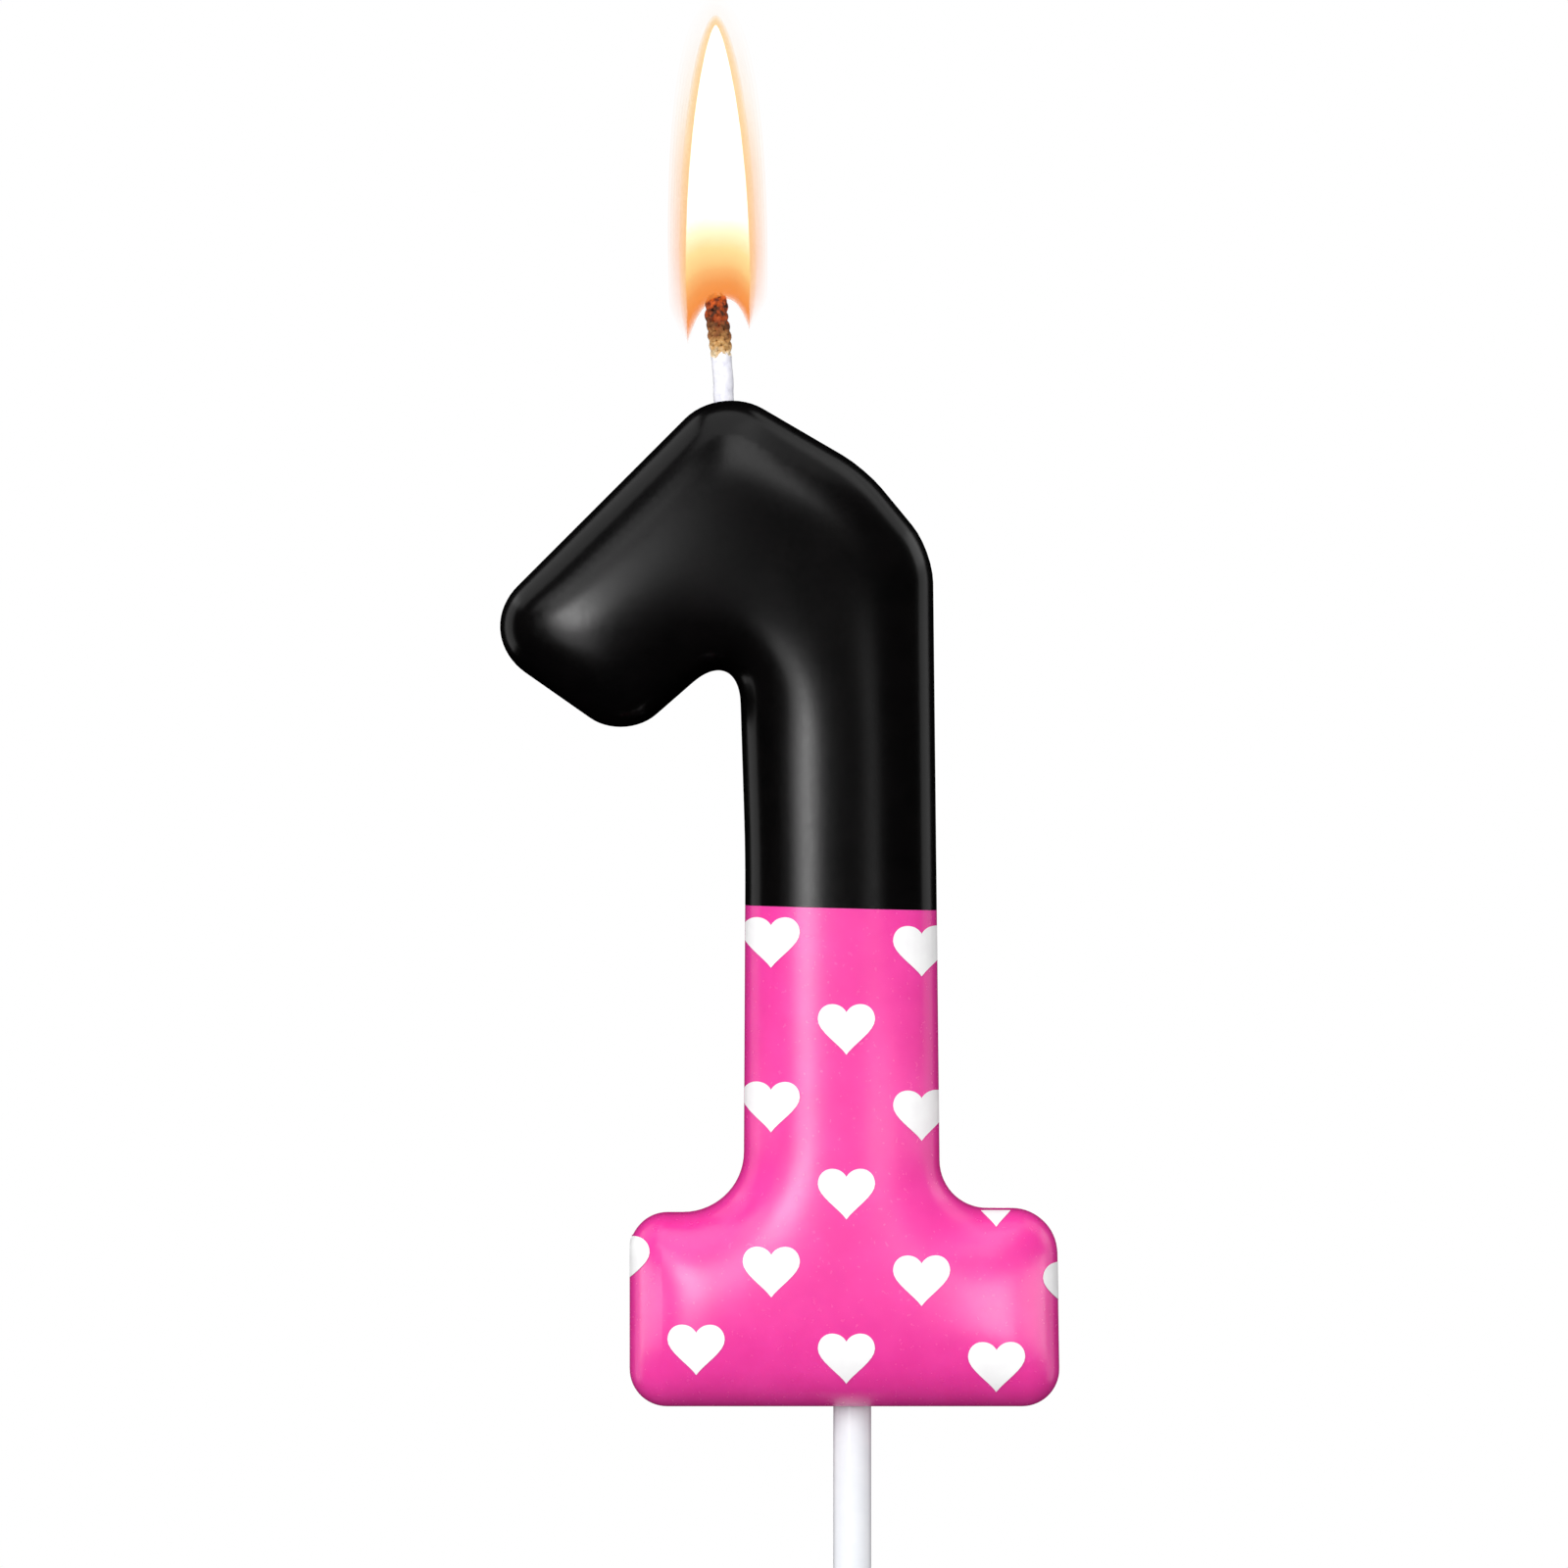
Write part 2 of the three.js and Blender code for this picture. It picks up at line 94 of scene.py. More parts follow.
# %% Camera
pink_low, pink_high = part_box("pink_coat")
PICTURE_WIDTH = 109.4 * MM  # at the distance of the candle
PICTURE_MIDDLE_X = -4.76 * MM
PICTURE_MIDDLE_RISE = 43.32 * MM  # over the underside of the foot
LENS = 250
SENSOR = 36
camera_data = bpy.data.cameras.new("camera")
camera_data.lens = LENS
camera_data.sensor_width = SENSOR
camera = bpy.data.objects.new("camera", camera_data)
bpy.context.scene.collection.objects.link(camera)
bpy.context.scene.camera = camera
LOOK_AT = Vector((PICTURE_MIDDLE_X, 0, pink_low.z + PICTURE_MIDDLE_RISE))
distance = PICTURE_WIDTH * LENS / SENSOR
camera.location = LOOK_AT + Vector((0, -distance, 0))
camera.rotation_euler = (math.radians(90), 0, 0)
print("camera stands", round(distance, 3), "m in front")

# %% [markdown]
# ## Stage and light
# Studios light small glossy things with soft boxes on both sides of the camera. Each draws a soft
# stripe down a rounded surface. Faint lamps a little behind the object draw thin lines just
# inside its outline. These lamps show in the gloss only. One broad fill and the white world,
# which grows brighter upward, light the matt side of things and never show in the gloss. The
# foot is small and turns away fast, so its own lamps stand close and shine on the pink alone.

# %% World
world = bpy.data.worlds.new("studio")
bpy.context.scene.world = world
world.use_nodes = True
nodes = world.node_tree.nodes
links = world.node_tree.links
nodes.clear()


def room_light(stops):
    """Grey light whose level follows how far upward the direction points."""
    way = nodes.new("ShaderNodeTexCoord")
    split = nodes.new("ShaderNodeSeparateXYZ")
    share = nodes.new("ShaderNodeMapRange")
    share.inputs["From Min"].default_value = -1
    ramp = nodes.new("ShaderNodeValToRGB")
    light = nodes.new("ShaderNodeBackground")
    for place, level in stops[2:]:
        ramp.color_ramp.elements.new(place)
    for element, (place, level) in zip(ramp.color_ramp.elements, stops):
        element.position = place
        element.color = (level, level, level, 1)
    links.new(way.outputs["Generated"], split.inputs[0])
    links.new(split.outputs["Z"], share.inputs["Value"])
    links.new(share.outputs["Result"], ramp.inputs["Fac"])
    links.new(ramp.outputs["Color"], light.inputs["Color"])
    return light


path = nodes.new("ShaderNodeLightPath")
backdrop = nodes.new("ShaderNodeBackground")
backdrop.inputs["Color"].default_value = (1, 1, 1, 1)
soft_light = room_light([(0.0, 0.42), (0.5, 0.57), (1.0, 0.92)])
seen_by_camera = nodes.new("ShaderNodeMixShader")
output = nodes.new("ShaderNodeOutputWorld")
links.new(path.outputs["Is Camera Ray"], seen_by_camera.inputs[0])
links.new(soft_light.outputs[0], seen_by_camera.inputs[1])
links.new(backdrop.outputs[0], seen_by_camera.inputs[2])
links.new(seen_by_camera.outputs[0], output.inputs[0])
world.cycles_visibility.glossy = False
bpy.context.scene.view_settings.view_transform = "Standard"
print("world nodes:", len(nodes))


# %% Soft boxes
def soft_box(name, azimuth, elevation, width, height, brightness,
             away=0.6, aim=LOOK_AT, roll=0, matt=False, only=None):
    """A rectangular lamp placed by its angles, in degrees, as seen from a point of the candle.

    Width and height are angles too. Azimuth 0 is the camera's side, and it grows to the right."""
    turn = math.radians(azimuth)
    rise = math.radians(elevation)
    level = Vector((math.sin(turn), -math.cos(turn), 0))
    toward = math.cos(rise) * level + math.sin(rise) * Vector((0, 0, 1))
    data = bpy.data.lights.new(name, "AREA")
    data.shape = "RECTANGLE"
    data.size = 2 * away * math.tan(math.radians(width / 2))
    data.size_y = 2 * away * math.tan(math.radians(height / 2))
    data.energy = brightness * math.pi * data.size * data.size_y
    lamp = bpy.data.objects.new(name, data)
    bpy.context.scene.collection.objects.link(lamp)
    lamp.location = aim + away * toward
    spin = Quaternion((0, 0, 1), math.radians(roll))
    lamp.rotation_euler = (toward.to_track_quat("Z", "Y") @ spin).to_euler()
    lamp.visible_glossy = not matt
    lamp.visible_diffuse = matt
    lamp.visible_camera = False
    if only:
        lamp.light_linking.receiver_collection = only


soft_box("left_box", -18, 4, 8, 16, 7.8, roll=39)
soft_box("left_screen", -23, 5, 13, 42, 1.5, roll=20)
soft_box("right_box", 16, -4, 8, 8, 1.3)

FOOT_MIDDLE_Z = pink_low.z + 7.2 * MM
FOOT_LEFT_END = Vector((-18 * MM, 0, FOOT_MIDDLE_Z))
FOOT_RIGHT_END = Vector((10 * MM, 0, FOOT_MIDDLE_Z))
pink_pieces = bpy.data.collections.new("pink_pieces")
soft_box("foot_box", 17, -2, 22, 18, 4.2, away=0.08, aim=FOOT_RIGHT_END, only=pink_pieces)
soft_box("foot_screen_right", 60, 0, 60, 16, 2.4, away=0.06, aim=FOOT_RIGHT_END, only=pink_pieces)
soft_box("foot_screen_left", -68, 0, 64, 16, 2.5, away=0.06, aim=FOOT_LEFT_END, only=pink_pieces)
soft_box("foot_top_screen", -15, 55, 50, 40, 0.7, away=0.3, aim=FOOT_LEFT_END, only=pink_pieces)

soft_box("high_box", 5, 32, 22, 22, 1.5)
soft_box("high_left_box", -39, 26, 16, 12, 1.0)
soft_box("high_right_screen", 62, 59, 60, 23, 0.25)
soft_box("overhead_screen", -11, 71, 54, 56, 0.6)
soft_box("fill", -15, 20, 60, 40, 3.6, away=0.9, matt=True)

# %% Rim lamps at both sides, a little behind the candle
soft_box("rim_right", 108, 4, 34, 60, 0.55)
soft_box("rim_right_high", 110, 40, 40, 50, 0.5)
soft_box("rim_left", -108, 4, 34, 60, 0.55)
soft_box("rim_left_high", -100, 42, 50, 30, 0.6)
print("lamps:", len(bpy.data.lights))


# %% Floor
FLOOR_RADIUS = 400 * MM
floor_bm = bmesh.new()
bmesh.ops.create_circle(floor_bm, cap_ends=True, segments=96, radius=FLOOR_RADIUS)
floor_mesh = bpy.data.meshes.new("floor")
floor_bm.to_mesh(floor_mesh)
floor_bm.free()
floor = bpy.data.objects.new("floor", floor_mesh)
bpy.context.scene.collection.objects.link(floor)
floor_paint = bpy.data.materials.new("floor_paint")
floor_paint.use_nodes = True
paper = floor_paint.node_tree.nodes["Principled BSDF"]
paper.inputs["Base Color"].default_value = (0.8, 0.8, 0.8, 1)
paper.inputs["Roughness"].default_value = 0.9
floor_mesh.materials.append(floor_paint)
floor.visible_glossy = False
floor.visible_diffuse = False
print("floor is", round(2 * FLOOR_RADIUS / MM), "mm across")

# %% [markdown]
# ## Shared material pieces
# Wax, plastic and cotton all need a fine mottle, so one node group makes it. It reads the
# object's own coordinates in metres, and puts out a value round one half.


# %% A node group for fine mottling
def new_group(name, inputs, outputs):
    """An empty node group with named float inputs and outputs."""
    group = bpy.data.node_groups.new(name, "ShaderNodeTree")
    for label, value in inputs:
        socket = group.interface.new_socket(label, in_out="INPUT", socket_type="NodeSocketFloat")
        socket.default_value = value
    for label in outputs:
        group.interface.new_socket(label, in_out="OUTPUT", socket_type="NodeSocketFloat")
    return group


mottle_group = new_group("mottle", [("Size mm", 1.0), ("Contrast", 0.5)], ["Value"])
g_in = mottle_group.nodes.new("NodeGroupInput")
g_out = mottle_group.nodes.new("NodeGroupOutput")
g_place = mottle_group.nodes.new("ShaderNodeTexCoord")
g_scale = mottle_group.nodes.new("ShaderNodeMath")
g_scale.operation = "DIVIDE"
g_scale.inputs[0].default_value = 1 / MM
g_noise = mottle_group.nodes.new("ShaderNodeTexNoise")
g_noise.inputs["Detail"].default_value = 3
g_centre = mottle_group.nodes.new("ShaderNodeMath")
g_centre.operation = "SUBTRACT"
g_centre.inputs[1].default_value = 0.5
g_spread = mottle_group.nodes.new("ShaderNodeMath")
g_spread.operation = "MULTIPLY_ADD"
g_spread.inputs[2].default_value = 0.5
mottle_group.links.new(g_in.outputs["Size mm"], g_scale.inputs[1])
mottle_group.links.new(g_place.outputs["Object"], g_noise.inputs["Vector"])
mottle_group.links.new(g_scale.outputs[0], g_noise.inputs["Scale"])
mottle_group.links.new(g_noise.outputs["Fac"], g_centre.inputs[0])
mottle_group.links.new(g_centre.outputs[0], g_spread.inputs[0])
mottle_group.links.new(g_in.outputs["Contrast"], g_spread.inputs[1])
mottle_group.links.new(g_spread.outputs[0], g_out.inputs["Value"])


# %% Helpers for materials
def new_material(name):
    """A material with its Principled shader."""
    material = bpy.data.materials.new(name)
    material.use_nodes = True
    return material, material.node_tree.nodes["Principled BSDF"]


def add_mottle(material, size, contrast):
    """Place the mottle group in a material and return its value socket."""
    node = material.node_tree.nodes.new("ShaderNodeGroup")
    node.node_tree = mottle_group
    node.inputs["Size mm"].default_value = size
    node.inputs["Contrast"].default_value = contrast
    return node.outputs["Value"]


def add_ramp(material, value, stops):
    """Colours along a value, as (place, colour) stops."""
    node = material.node_tree.nodes.new("ShaderNodeValToRGB")
    ramp = node.color_ramp
    for place, colour in stops[2:]:
        ramp.elements.new(place)
    for element, (place, colour) in zip(ramp.elements, stops):
        element.position = place
        element.color = (*colour, 1)
    material.node_tree.links.new(value, node.inputs["Fac"])
    return node.outputs["Color"]


def add_range(material, value, low, high):
    """Stretch a value from 0..1 to low..high."""
    node = material.node_tree.nodes.new("ShaderNodeMapRange")
    node.inputs["To Min"].default_value = low
    node.inputs["To Max"].default_value = high
    material.node_tree.links.new(value, node.inputs["Value"])
    return node.outputs["Result"]


def add_bump(material, shader, height, depth):
    """Feed a height into the shader's normal. Depth is in millimetres."""
    node = material.node_tree.nodes.new("ShaderNodeBump")
    node.inputs["Distance"].default_value = depth * MM
    material.node_tree.links.new(height, node.inputs["Height"])
    material.node_tree.links.new(node.outputs["Normal"], shader.inputs["Normal"])


# %% [markdown]
# ## Wax
# Dyed candle wax is smooth and a little soft in its shine. Pink wax lets light in, so a little
# subsurface scattering warms it, while black wax swallows it. The mottle varies the colour and
# the shine by a hair, as wax that has set against a mould does.

# %% Wax finishes
CLOUD_SIZE = 3.0  # sizes of the mottle in mm
GRAIN_SIZE = 0.35
GRAIN_DEPTH = 0.002
SHINE_DRIFT = 0.04


def wax(name, deep, pale, roughness, gloss, scatter, scatter_colour):
    """Dyed wax whose colour drifts between two close tones."""
    material, shader = new_material(name)
    cloud = add_mottle(material, CLOUD_SIZE, 1.0)
    grain = add_mottle(material, GRAIN_SIZE, 1.0)
    colour = add_ramp(material, cloud, [(0.35, deep), (0.65, pale)])
    material.node_tree.links.new(colour, shader.inputs["Base Color"])
    rough = add_range(material, grain, roughness - SHINE_DRIFT, roughness + SHINE_DRIFT)
    material.node_tree.links.new(rough, shader.inputs["Roughness"])
    shader.inputs["Specular IOR Level"].default_value = gloss
    shader.inputs["Subsurface Weight"].default_value = scatter
    shader.inputs["Subsurface Radius"].default_value = scatter_colour
    shader.inputs["Subsurface Scale"].default_value = 0.6 * MM
    add_bump(material, shader, grain, GRAIN_DEPTH)
    return material


black_wax = wax("black_wax", (0.0012, 0.0011, 0.0012), (0.0022, 0.0019, 0.0020), 0.22, 0.5, 0, (1, 1, 1))
pink_wax = wax("pink_wax", (0.83, 0.032, 0.33), (0.88, 0.042, 0.36), 0.26, 0.95, 0.15, (1.0, 0.3, 0.5))
core_wax = wax("core_wax", (0.82, 0.79, 0.70), (0.88, 0.85, 0.77), 0.45, 0.5, 0.3, (1.0, 0.9, 0.7))
print("wax finishes:", black_wax.name, pink_wax.name, core_wax.name)

# %% [markdown]
# ## Outline of the numeral
# Seen from the front, the figure 1 is a polygon with thirteen corners, each rounded by its own
# radius. A face is made from the sharp corners, and each corner is then bevelled. The bevel
# draws an ellipse, so its offset is chosen to cut the corner as deep as a true round would.
# Lengths along x start at the stick's axis, and heights at the underside of the foot or the top.

# %% Sizes of the numeral
coat_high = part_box("black_coat")[1]
UNDERSIDE = pink_low.z
TOP = coat_high.z
HEIGHT = TOP - UNDERSIDE
STEM_LEFT = -7.55 * MM
STEM_RIGHT = 5.6 * MM
STEM_SPREAD = 0.5 * MM
STEM_WAIST_Z = UNDERSIDE + 0.55 * HEIGHT
STEM_WAIST_IN = 0.12 * MM
STEM_LEAN = 0.35 * MM
FOOT_LEFT = pink_low.x
FOOT_RIGHT = pink_high.x
FOOT_TOP = UNDERSIDE + 13.4 * MM
FOOT_TOP_RIGHT = FOOT_TOP + 0.28 * MM
FOOT_RIGHT_LEAN = 0.22 * MM
APEX = Vector((-9.22 * MM, 0, TOP + 1.2 * MM))
SHOULDER_HIGH = Vector((0.9 * MM, 0, TOP - 4.7 * MM))
SHOULDER_Z = TOP - 10.4 * MM
NOTCH_Z = TOP - 16.75 * MM
ARM_RUN = 17.4 * MM
ARM_END_WIDTH = 13.1 * MM
ARM_END_SLOPE = math.radians(35)

arm_tip = APEX + Vector((-ARM_RUN, 0, -ARM_RUN))
arm_end_way = Vector((math.cos(ARM_END_SLOPE), 0, -math.sin(ARM_END_SLOPE)))
arm_under = arm_tip + ARM_END_WIDTH * arm_end_way
CORNERS = [  # x, z, and the radius in mm
    (APEX.x, APEX.z, 4.7),
    (arm_tip.x, arm_tip.z, 3.8),
    (arm_under.x, arm_under.z, 3.9),
    (STEM_LEFT - STEM_LEAN, NOTCH_Z, 1.7),
    (STEM_LEFT + STEM_WAIST_IN, STEM_WAIST_Z, 150),
    (STEM_LEFT, FOOT_TOP, 4.3),
    (FOOT_LEFT, FOOT_TOP, 2.6),
    (FOOT_LEFT, UNDERSIDE, 2.6),
    (FOOT_RIGHT, UNDERSIDE, 2.6),
    (FOOT_RIGHT - FOOT_RIGHT_LEAN, FOOT_TOP_RIGHT, 3.1),
    (STEM_RIGHT + STEM_SPREAD, FOOT_TOP_RIGHT, 3.4),
    (STEM_RIGHT, SHOULDER_Z, 7.2),
    (SHOULDER_HIGH.x, SHOULDER_HIGH.z, 12),
]
print("corners:", len(CORNERS))

# %% A rounded outline as one flat face
DEGREES_PER_SEGMENT = 6


def round_corner(bm, vert, radius):
    """Bevel one corner of a flat face so that it is cut as deep as a round of that radius."""
    one, two = [(edge.other_vert(vert).co - vert.co).normalized() for edge in vert.link_edges]
    turn = math.pi - one.angle(two)
    depth = radius * (1 / math.cos(turn / 2) - 1)
    offset = depth / ((2 - math.sqrt(2)) * math.sin(turn / 2))
    segments = max(4, round(math.degrees(turn) / DEGREES_PER_SEGMENT))
    bmesh.ops.bevel(
        bm, geom=[vert], offset=offset, offset_type="OFFSET", segments=segments,
        profile=0.5, affect="VERTICES", material=-1,
    )


def flat_outline(step=None):
    """The figure 1 as one flat face in the plane y = 0, looking along -Y."""
    bm = bmesh.new()
    corners = [bm.verts.new((x, 0, z)) for x, z, radius in CORNERS]
    bm.faces.new(corners).normal_update()
    for corner, (x, z, radius) in zip(corners, CORNERS):
        round_corner(bm, corner, radius * MM)
    if step:
        for edge in [e for e in bm.edges if e.calc_length() > 1.5 * step]:
            bmesh.ops.subdivide_edges(bm, edges=[edge], cuts=round(edge.calc_length() / step) - 1)
    bm.faces.ensure_lookup_table()
    bm.faces[0].normal_update()
    if bm.faces[0].normal.y > 0:
        bm.faces[0].normal_flip()
    return bm


outline_bm = flat_outline()
outline = np.array([(v.co.x, v.co.z) for v in outline_bm.faces[0].verts])
outline_bm.free()
print("outline:", len(outline), "points, from", outline.min(0) / MM, "to", outline.max(0) / MM)

# %% [markdown]
# ## Crown
# The faces swell like a balloon: steeply at the rim, and nearly flat along the middle of each
# limb. Two ways would do it: simulate a skin under pressure, or use a formula. The formula is
# quicker and always gives the same answer. It asks, at each point, how much room there is round
# it. Each piece of the rim counts by the angle it fills, divided by its distance. Between two
# parallel edges the square root of that room is exactly an ellipse.


# %% Room round a point, and the height of the crown there
def room_at(x, z):
    """Roughly the distance to the rim, in metres, felt in all directions at once."""
    start = outline[None, :, :] - np.stack([x, z], -1)[:, None, :]
    end = np.roll(start, -1, axis=1)
    cross = start[..., 0] * end[..., 1] - start[..., 1] * end[..., 0]
    dot = (start * end).sum(-1)
    length = np.linalg.norm(end - start, axis=-1)
    flat = np.abs(cross) < 1e-12
    angle = np.arctan2(cross, dot)
    pull = np.where(flat, length / np.where(np.abs(dot) < 1e-15, 1e-15, dot), 0)
    pull = np.where(flat & (dot < 0), 1e9, pull)
    pull = np.where(flat, pull, angle * length / np.where(flat, 1, cross))
    within = np.abs(angle.sum(-1)) > math.pi
    return np.where(within, math.pi / np.abs(pull).sum(-1), 0)


EDGE_BAND = 3.4 * MM
CROWN_RISE = 4.15 * MM
FLATTEN = 1.2
STEM_X = (STEM_LEFT + STEM_RIGHT) / 2
STEM_Z = UNDERSIDE + HEIGHT * 0.42
STEM_ROOM = room_at(np.array([STEM_X]), np.array([STEM_Z]))[0]


def crown(x, z):
    """How far the face stands out from the numeral's middle plane."""
    share = room_at(np.atleast_1d(x), np.atleast_1d(z)) / STEM_ROOM
    swell = np.sqrt((1 - np.exp(-FLATTEN * share)) / (1 - math.exp(-FLATTEN)))
    return EDGE_BAND / 2 + CROWN_RISE * swell


def on_crown(x, z, lift):
    """Points that stand off the front face by a lift along its normal."""
    step = 0.01 * MM
    out = crown(x, z)
    slope_x = (crown(x + step, z) - crown(x - step, z)) / (2 * step)
    slope_z = (crown(x, z + step) - crown(x, z - step)) / (2 * step)
    normal = np.stack([-slope_x, np.ones_like(out), -slope_z], -1)
    normal /= np.linalg.norm(normal, axis=-1, keepdims=True)
    return np.stack([x, out, z], -1) + lift * normal


print("stem is", round(2 * crown(STEM_X, STEM_Z)[0] / MM, 2), "mm thick")

# %% [markdown]
# ## Body of the numeral
# The flat face is inset in rings that crowd towards the rim, where the crown is steep. The field
# inside is cut into small squares, and every point is then pushed out to the crown. The rim is
# extruded back to the middle plane, the half is mirrored, and the line where the halves meet
# becomes the thin parting ridge that a two-part mould leaves.

# %% Rings and grid
RIM_RINGS = 7
RING_TURN = math.radians(7)
RIM_REACH = 6.6 * MM
RIM_STEP = 0.8 * MM
RIM_FALL = (-0.6 * MM, -0.2 * MM, 0.0)
SLIVER = 0.02 * MM
ring_depths = [RIM_REACH * (1 - math.cos(RING_TURN * (i + 1))) for i in range(RIM_RINGS)]
GRID = 0.55 * MM


def grid_cut(bm, faces, spacing):
    """Cut faces into squares along x and z."""
    for axis, normal in ((0, (1, 0, 0)), (2, (0, 0, 1))):
        low = min(v.co[axis] for f in faces for v in f.verts)
        high = max(v.co[axis] for f in faces for v in f.verts)
        for place in np.arange(low + spacing / 2, high, spacing):
            parts = set(faces)
            parts.update(e for f in faces for e in f.edges)
            parts.update(v for f in faces for v in f.verts)
            point = [0, 0, 0]
            point[axis] = place
            cut = bmesh.ops.bisect_plane(bm, geom=list(parts), plane_co=point, plane_no=normal)
            faces = [f for f in cut["geom"] if isinstance(f, bmesh.types.BMFace)]
    return faces


def numeral_body(inset=0.0):
    """The closed skin of the whole numeral. An inset gives a smaller one of the same form."""
    bm = flat_outline(step=RIM_STEP)
    field = bm.faces[0]
    done = 0.0
    for depth in ring_depths:
        bmesh.ops.inset_region(
            bm, faces=[field], thickness=depth - done, use_even_offset=True, use_boundary=True,
        )
        done = depth
    grid_cut(bm, [field], GRID)
    bmesh.ops.remove_doubles(bm, verts=bm.verts[:], dist=SLIVER)
    verts = list(bm.verts)
    x = np.array([v.co.x for v in verts])
    z = np.array([v.co.z for v in verts])
    for vert, out in zip(verts, crown(x, z)):
        vert.co.y = -out
    rim = [e for e in bm.edges if e.is_boundary]
    for y in RIM_FALL:
        grown = bmesh.ops.extrude_edge_only(bm, edges=rim)["geom"]
        rim = [g for g in grown if isinstance(g, bmesh.types.BMEdge) and g.is_boundary]
        for vert in {v for e in rim for v in e.verts}:
            vert.co.y = y
    half = bm.verts[:] + bm.edges[:] + bm.faces[:]
    bmesh.ops.mirror(bm, geom=half, matrix=Matrix(), merge_dist=-1, axis="Y")
    bmesh.ops.remove_doubles(bm, verts=bm.verts[:], dist=TOUCH)
    bmesh.ops.triangulate(bm, faces=[f for f in bm.faces if len(f.verts) > 4])
    turn_outward(bm)
    bm.normal_update()
    if inset:
        moves = [(v, v.co - inset * v.normal) for v in bm.verts]
        for vert, place in moves:
            vert.co = place
    return bm


SEAM_RIDGE = 0.03 * MM
body = numeral_body()
for vert in body.verts:
    if abs(vert.co.y) < TOUCH:
        vert.co += SEAM_RIDGE * vert.normal
print("numeral:", len(body.faces), "faces,", round(inside_volume(body)), "cubic mm")

# %% [markdown]
# ## Two coats
# Each colour is a thin coat over plain wax. The body is cut along the dip line, which slopes a
# little. The skin of each half is then extruded inward and the outer skin is kept, so the coat
# is a closed shell with a real edge. The plain wax is the same body, made a little smaller.

# %% Cut, thicken and place a coat
DIP_HEIGHT = UNDERSIDE + 34.7 * MM
DIP_SLOPE = math.radians(-1.5)
COAT = 0.4 * MM
COAT_JOINT = 0.02 * MM
CORE_GAP = 0.05 * MM
dip_normal = Vector((-math.sin(DIP_SLOPE), 0, math.cos(DIP_SLOPE)))


def coat(name, above, material):
    """One colour's shell: the part of the body on its side of the dip line."""
    bm = body.copy()
    side = 1 if above else -1
    bmesh.ops.bisect_plane(
        bm, geom=bm.verts[:] + bm.edges[:] + bm.faces[:],
        plane_co=Vector((0, 0, DIP_HEIGHT)) + side * COAT_JOINT / 2 * dip_normal,
        plane_no=dip_normal, clear_inner=above, clear_outer=not above,
    )
    bm.normal_update()
    inner = bmesh.ops.extrude_face_region(bm, geom=bm.faces[:], use_keep_orig=True)["geom"]
    for vert in [g for g in inner if isinstance(g, bmesh.types.BMVert)]:
        vert.co -= COAT * vert.normal
    turn_outward(bm)
    print(name, round(inside_volume(bm)), "cubic mm of wax")
    return finish_piece(name, bm, material, [name])


black_coat = coat("black_coat", True, black_wax)
pink_coat = coat("pink_coat", False, pink_wax)
pink_coat.visible_glossy = False
pink_pieces.objects.link(pink_coat)
body.free()

# %% Plain wax inside the coats
core_bm = numeral_body(inset=COAT + CORE_GAP)
print("core", round(inside_volume(core_bm)), "cubic mm")
finish_piece("wax_core", core_bm, core_wax, ["wax_core"])

# %% [markdown]
# ## Stick
# The stick is a moulded plastic rod: a profile turned about its axis. Two rings near its top
# grip the wax. White plastic has a sharper shine than wax.

# %% White plastic
stick_plastic, shader = new_material("stick_plastic")
cloud = add_mottle(stick_plastic, 2.0, 1.0)
tone = add_ramp(stick_plastic, cloud, [(0.3, (0.80, 0.83, 0.87)), (0.7, (0.86, 0.88, 0.91))])
stick_plastic.node_tree.links.new(tone, shader.inputs["Base Color"])
shine = add_range(stick_plastic, cloud, 0.16, 0.24)
stick_plastic.node_tree.links.new(shine, shader.inputs["Roughness"])
print("made", stick_plastic.name)

# %% Stick
STICK_RADIUS = 1.32 * MM
STICK_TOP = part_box("stick")[1].z
CHAMFER = 0.3 * MM
CHAMFER_STEPS = 5
SHANK_TOP = STICK_TOP - 14 * MM
SHANK_STEPS = 12
GRIP_RISE = 0.25 * MM
GRIP_WIDTH = 1.6 * MM
GRIP_SPACING = 5 * MM
GRIP_DROP = 0.3 * MM
GRIP_STEPS = 8
TURN_STEPS = 64


def turned(points):
    """Turn a profile of (radius, height) points about the z axis into a closed skin."""
    bm = bmesh.new()
    verts = [bm.verts.new((r, 0, z)) for r, z in points]
    edges = [bm.edges.new(pair) for pair in zip(verts, verts[1:])]
    bmesh.ops.spin(
        bm, geom=verts + edges, cent=(0, 0, 0), axis=(0, 0, 1), angle=2 * math.pi,
        steps=TURN_STEPS, use_merge=True,
    )
    bmesh.ops.remove_doubles(bm, verts=bm.verts[:], dist=TOUCH)
    bmesh.ops.recalc_face_normals(bm, faces=bm.faces[:])
    return bm


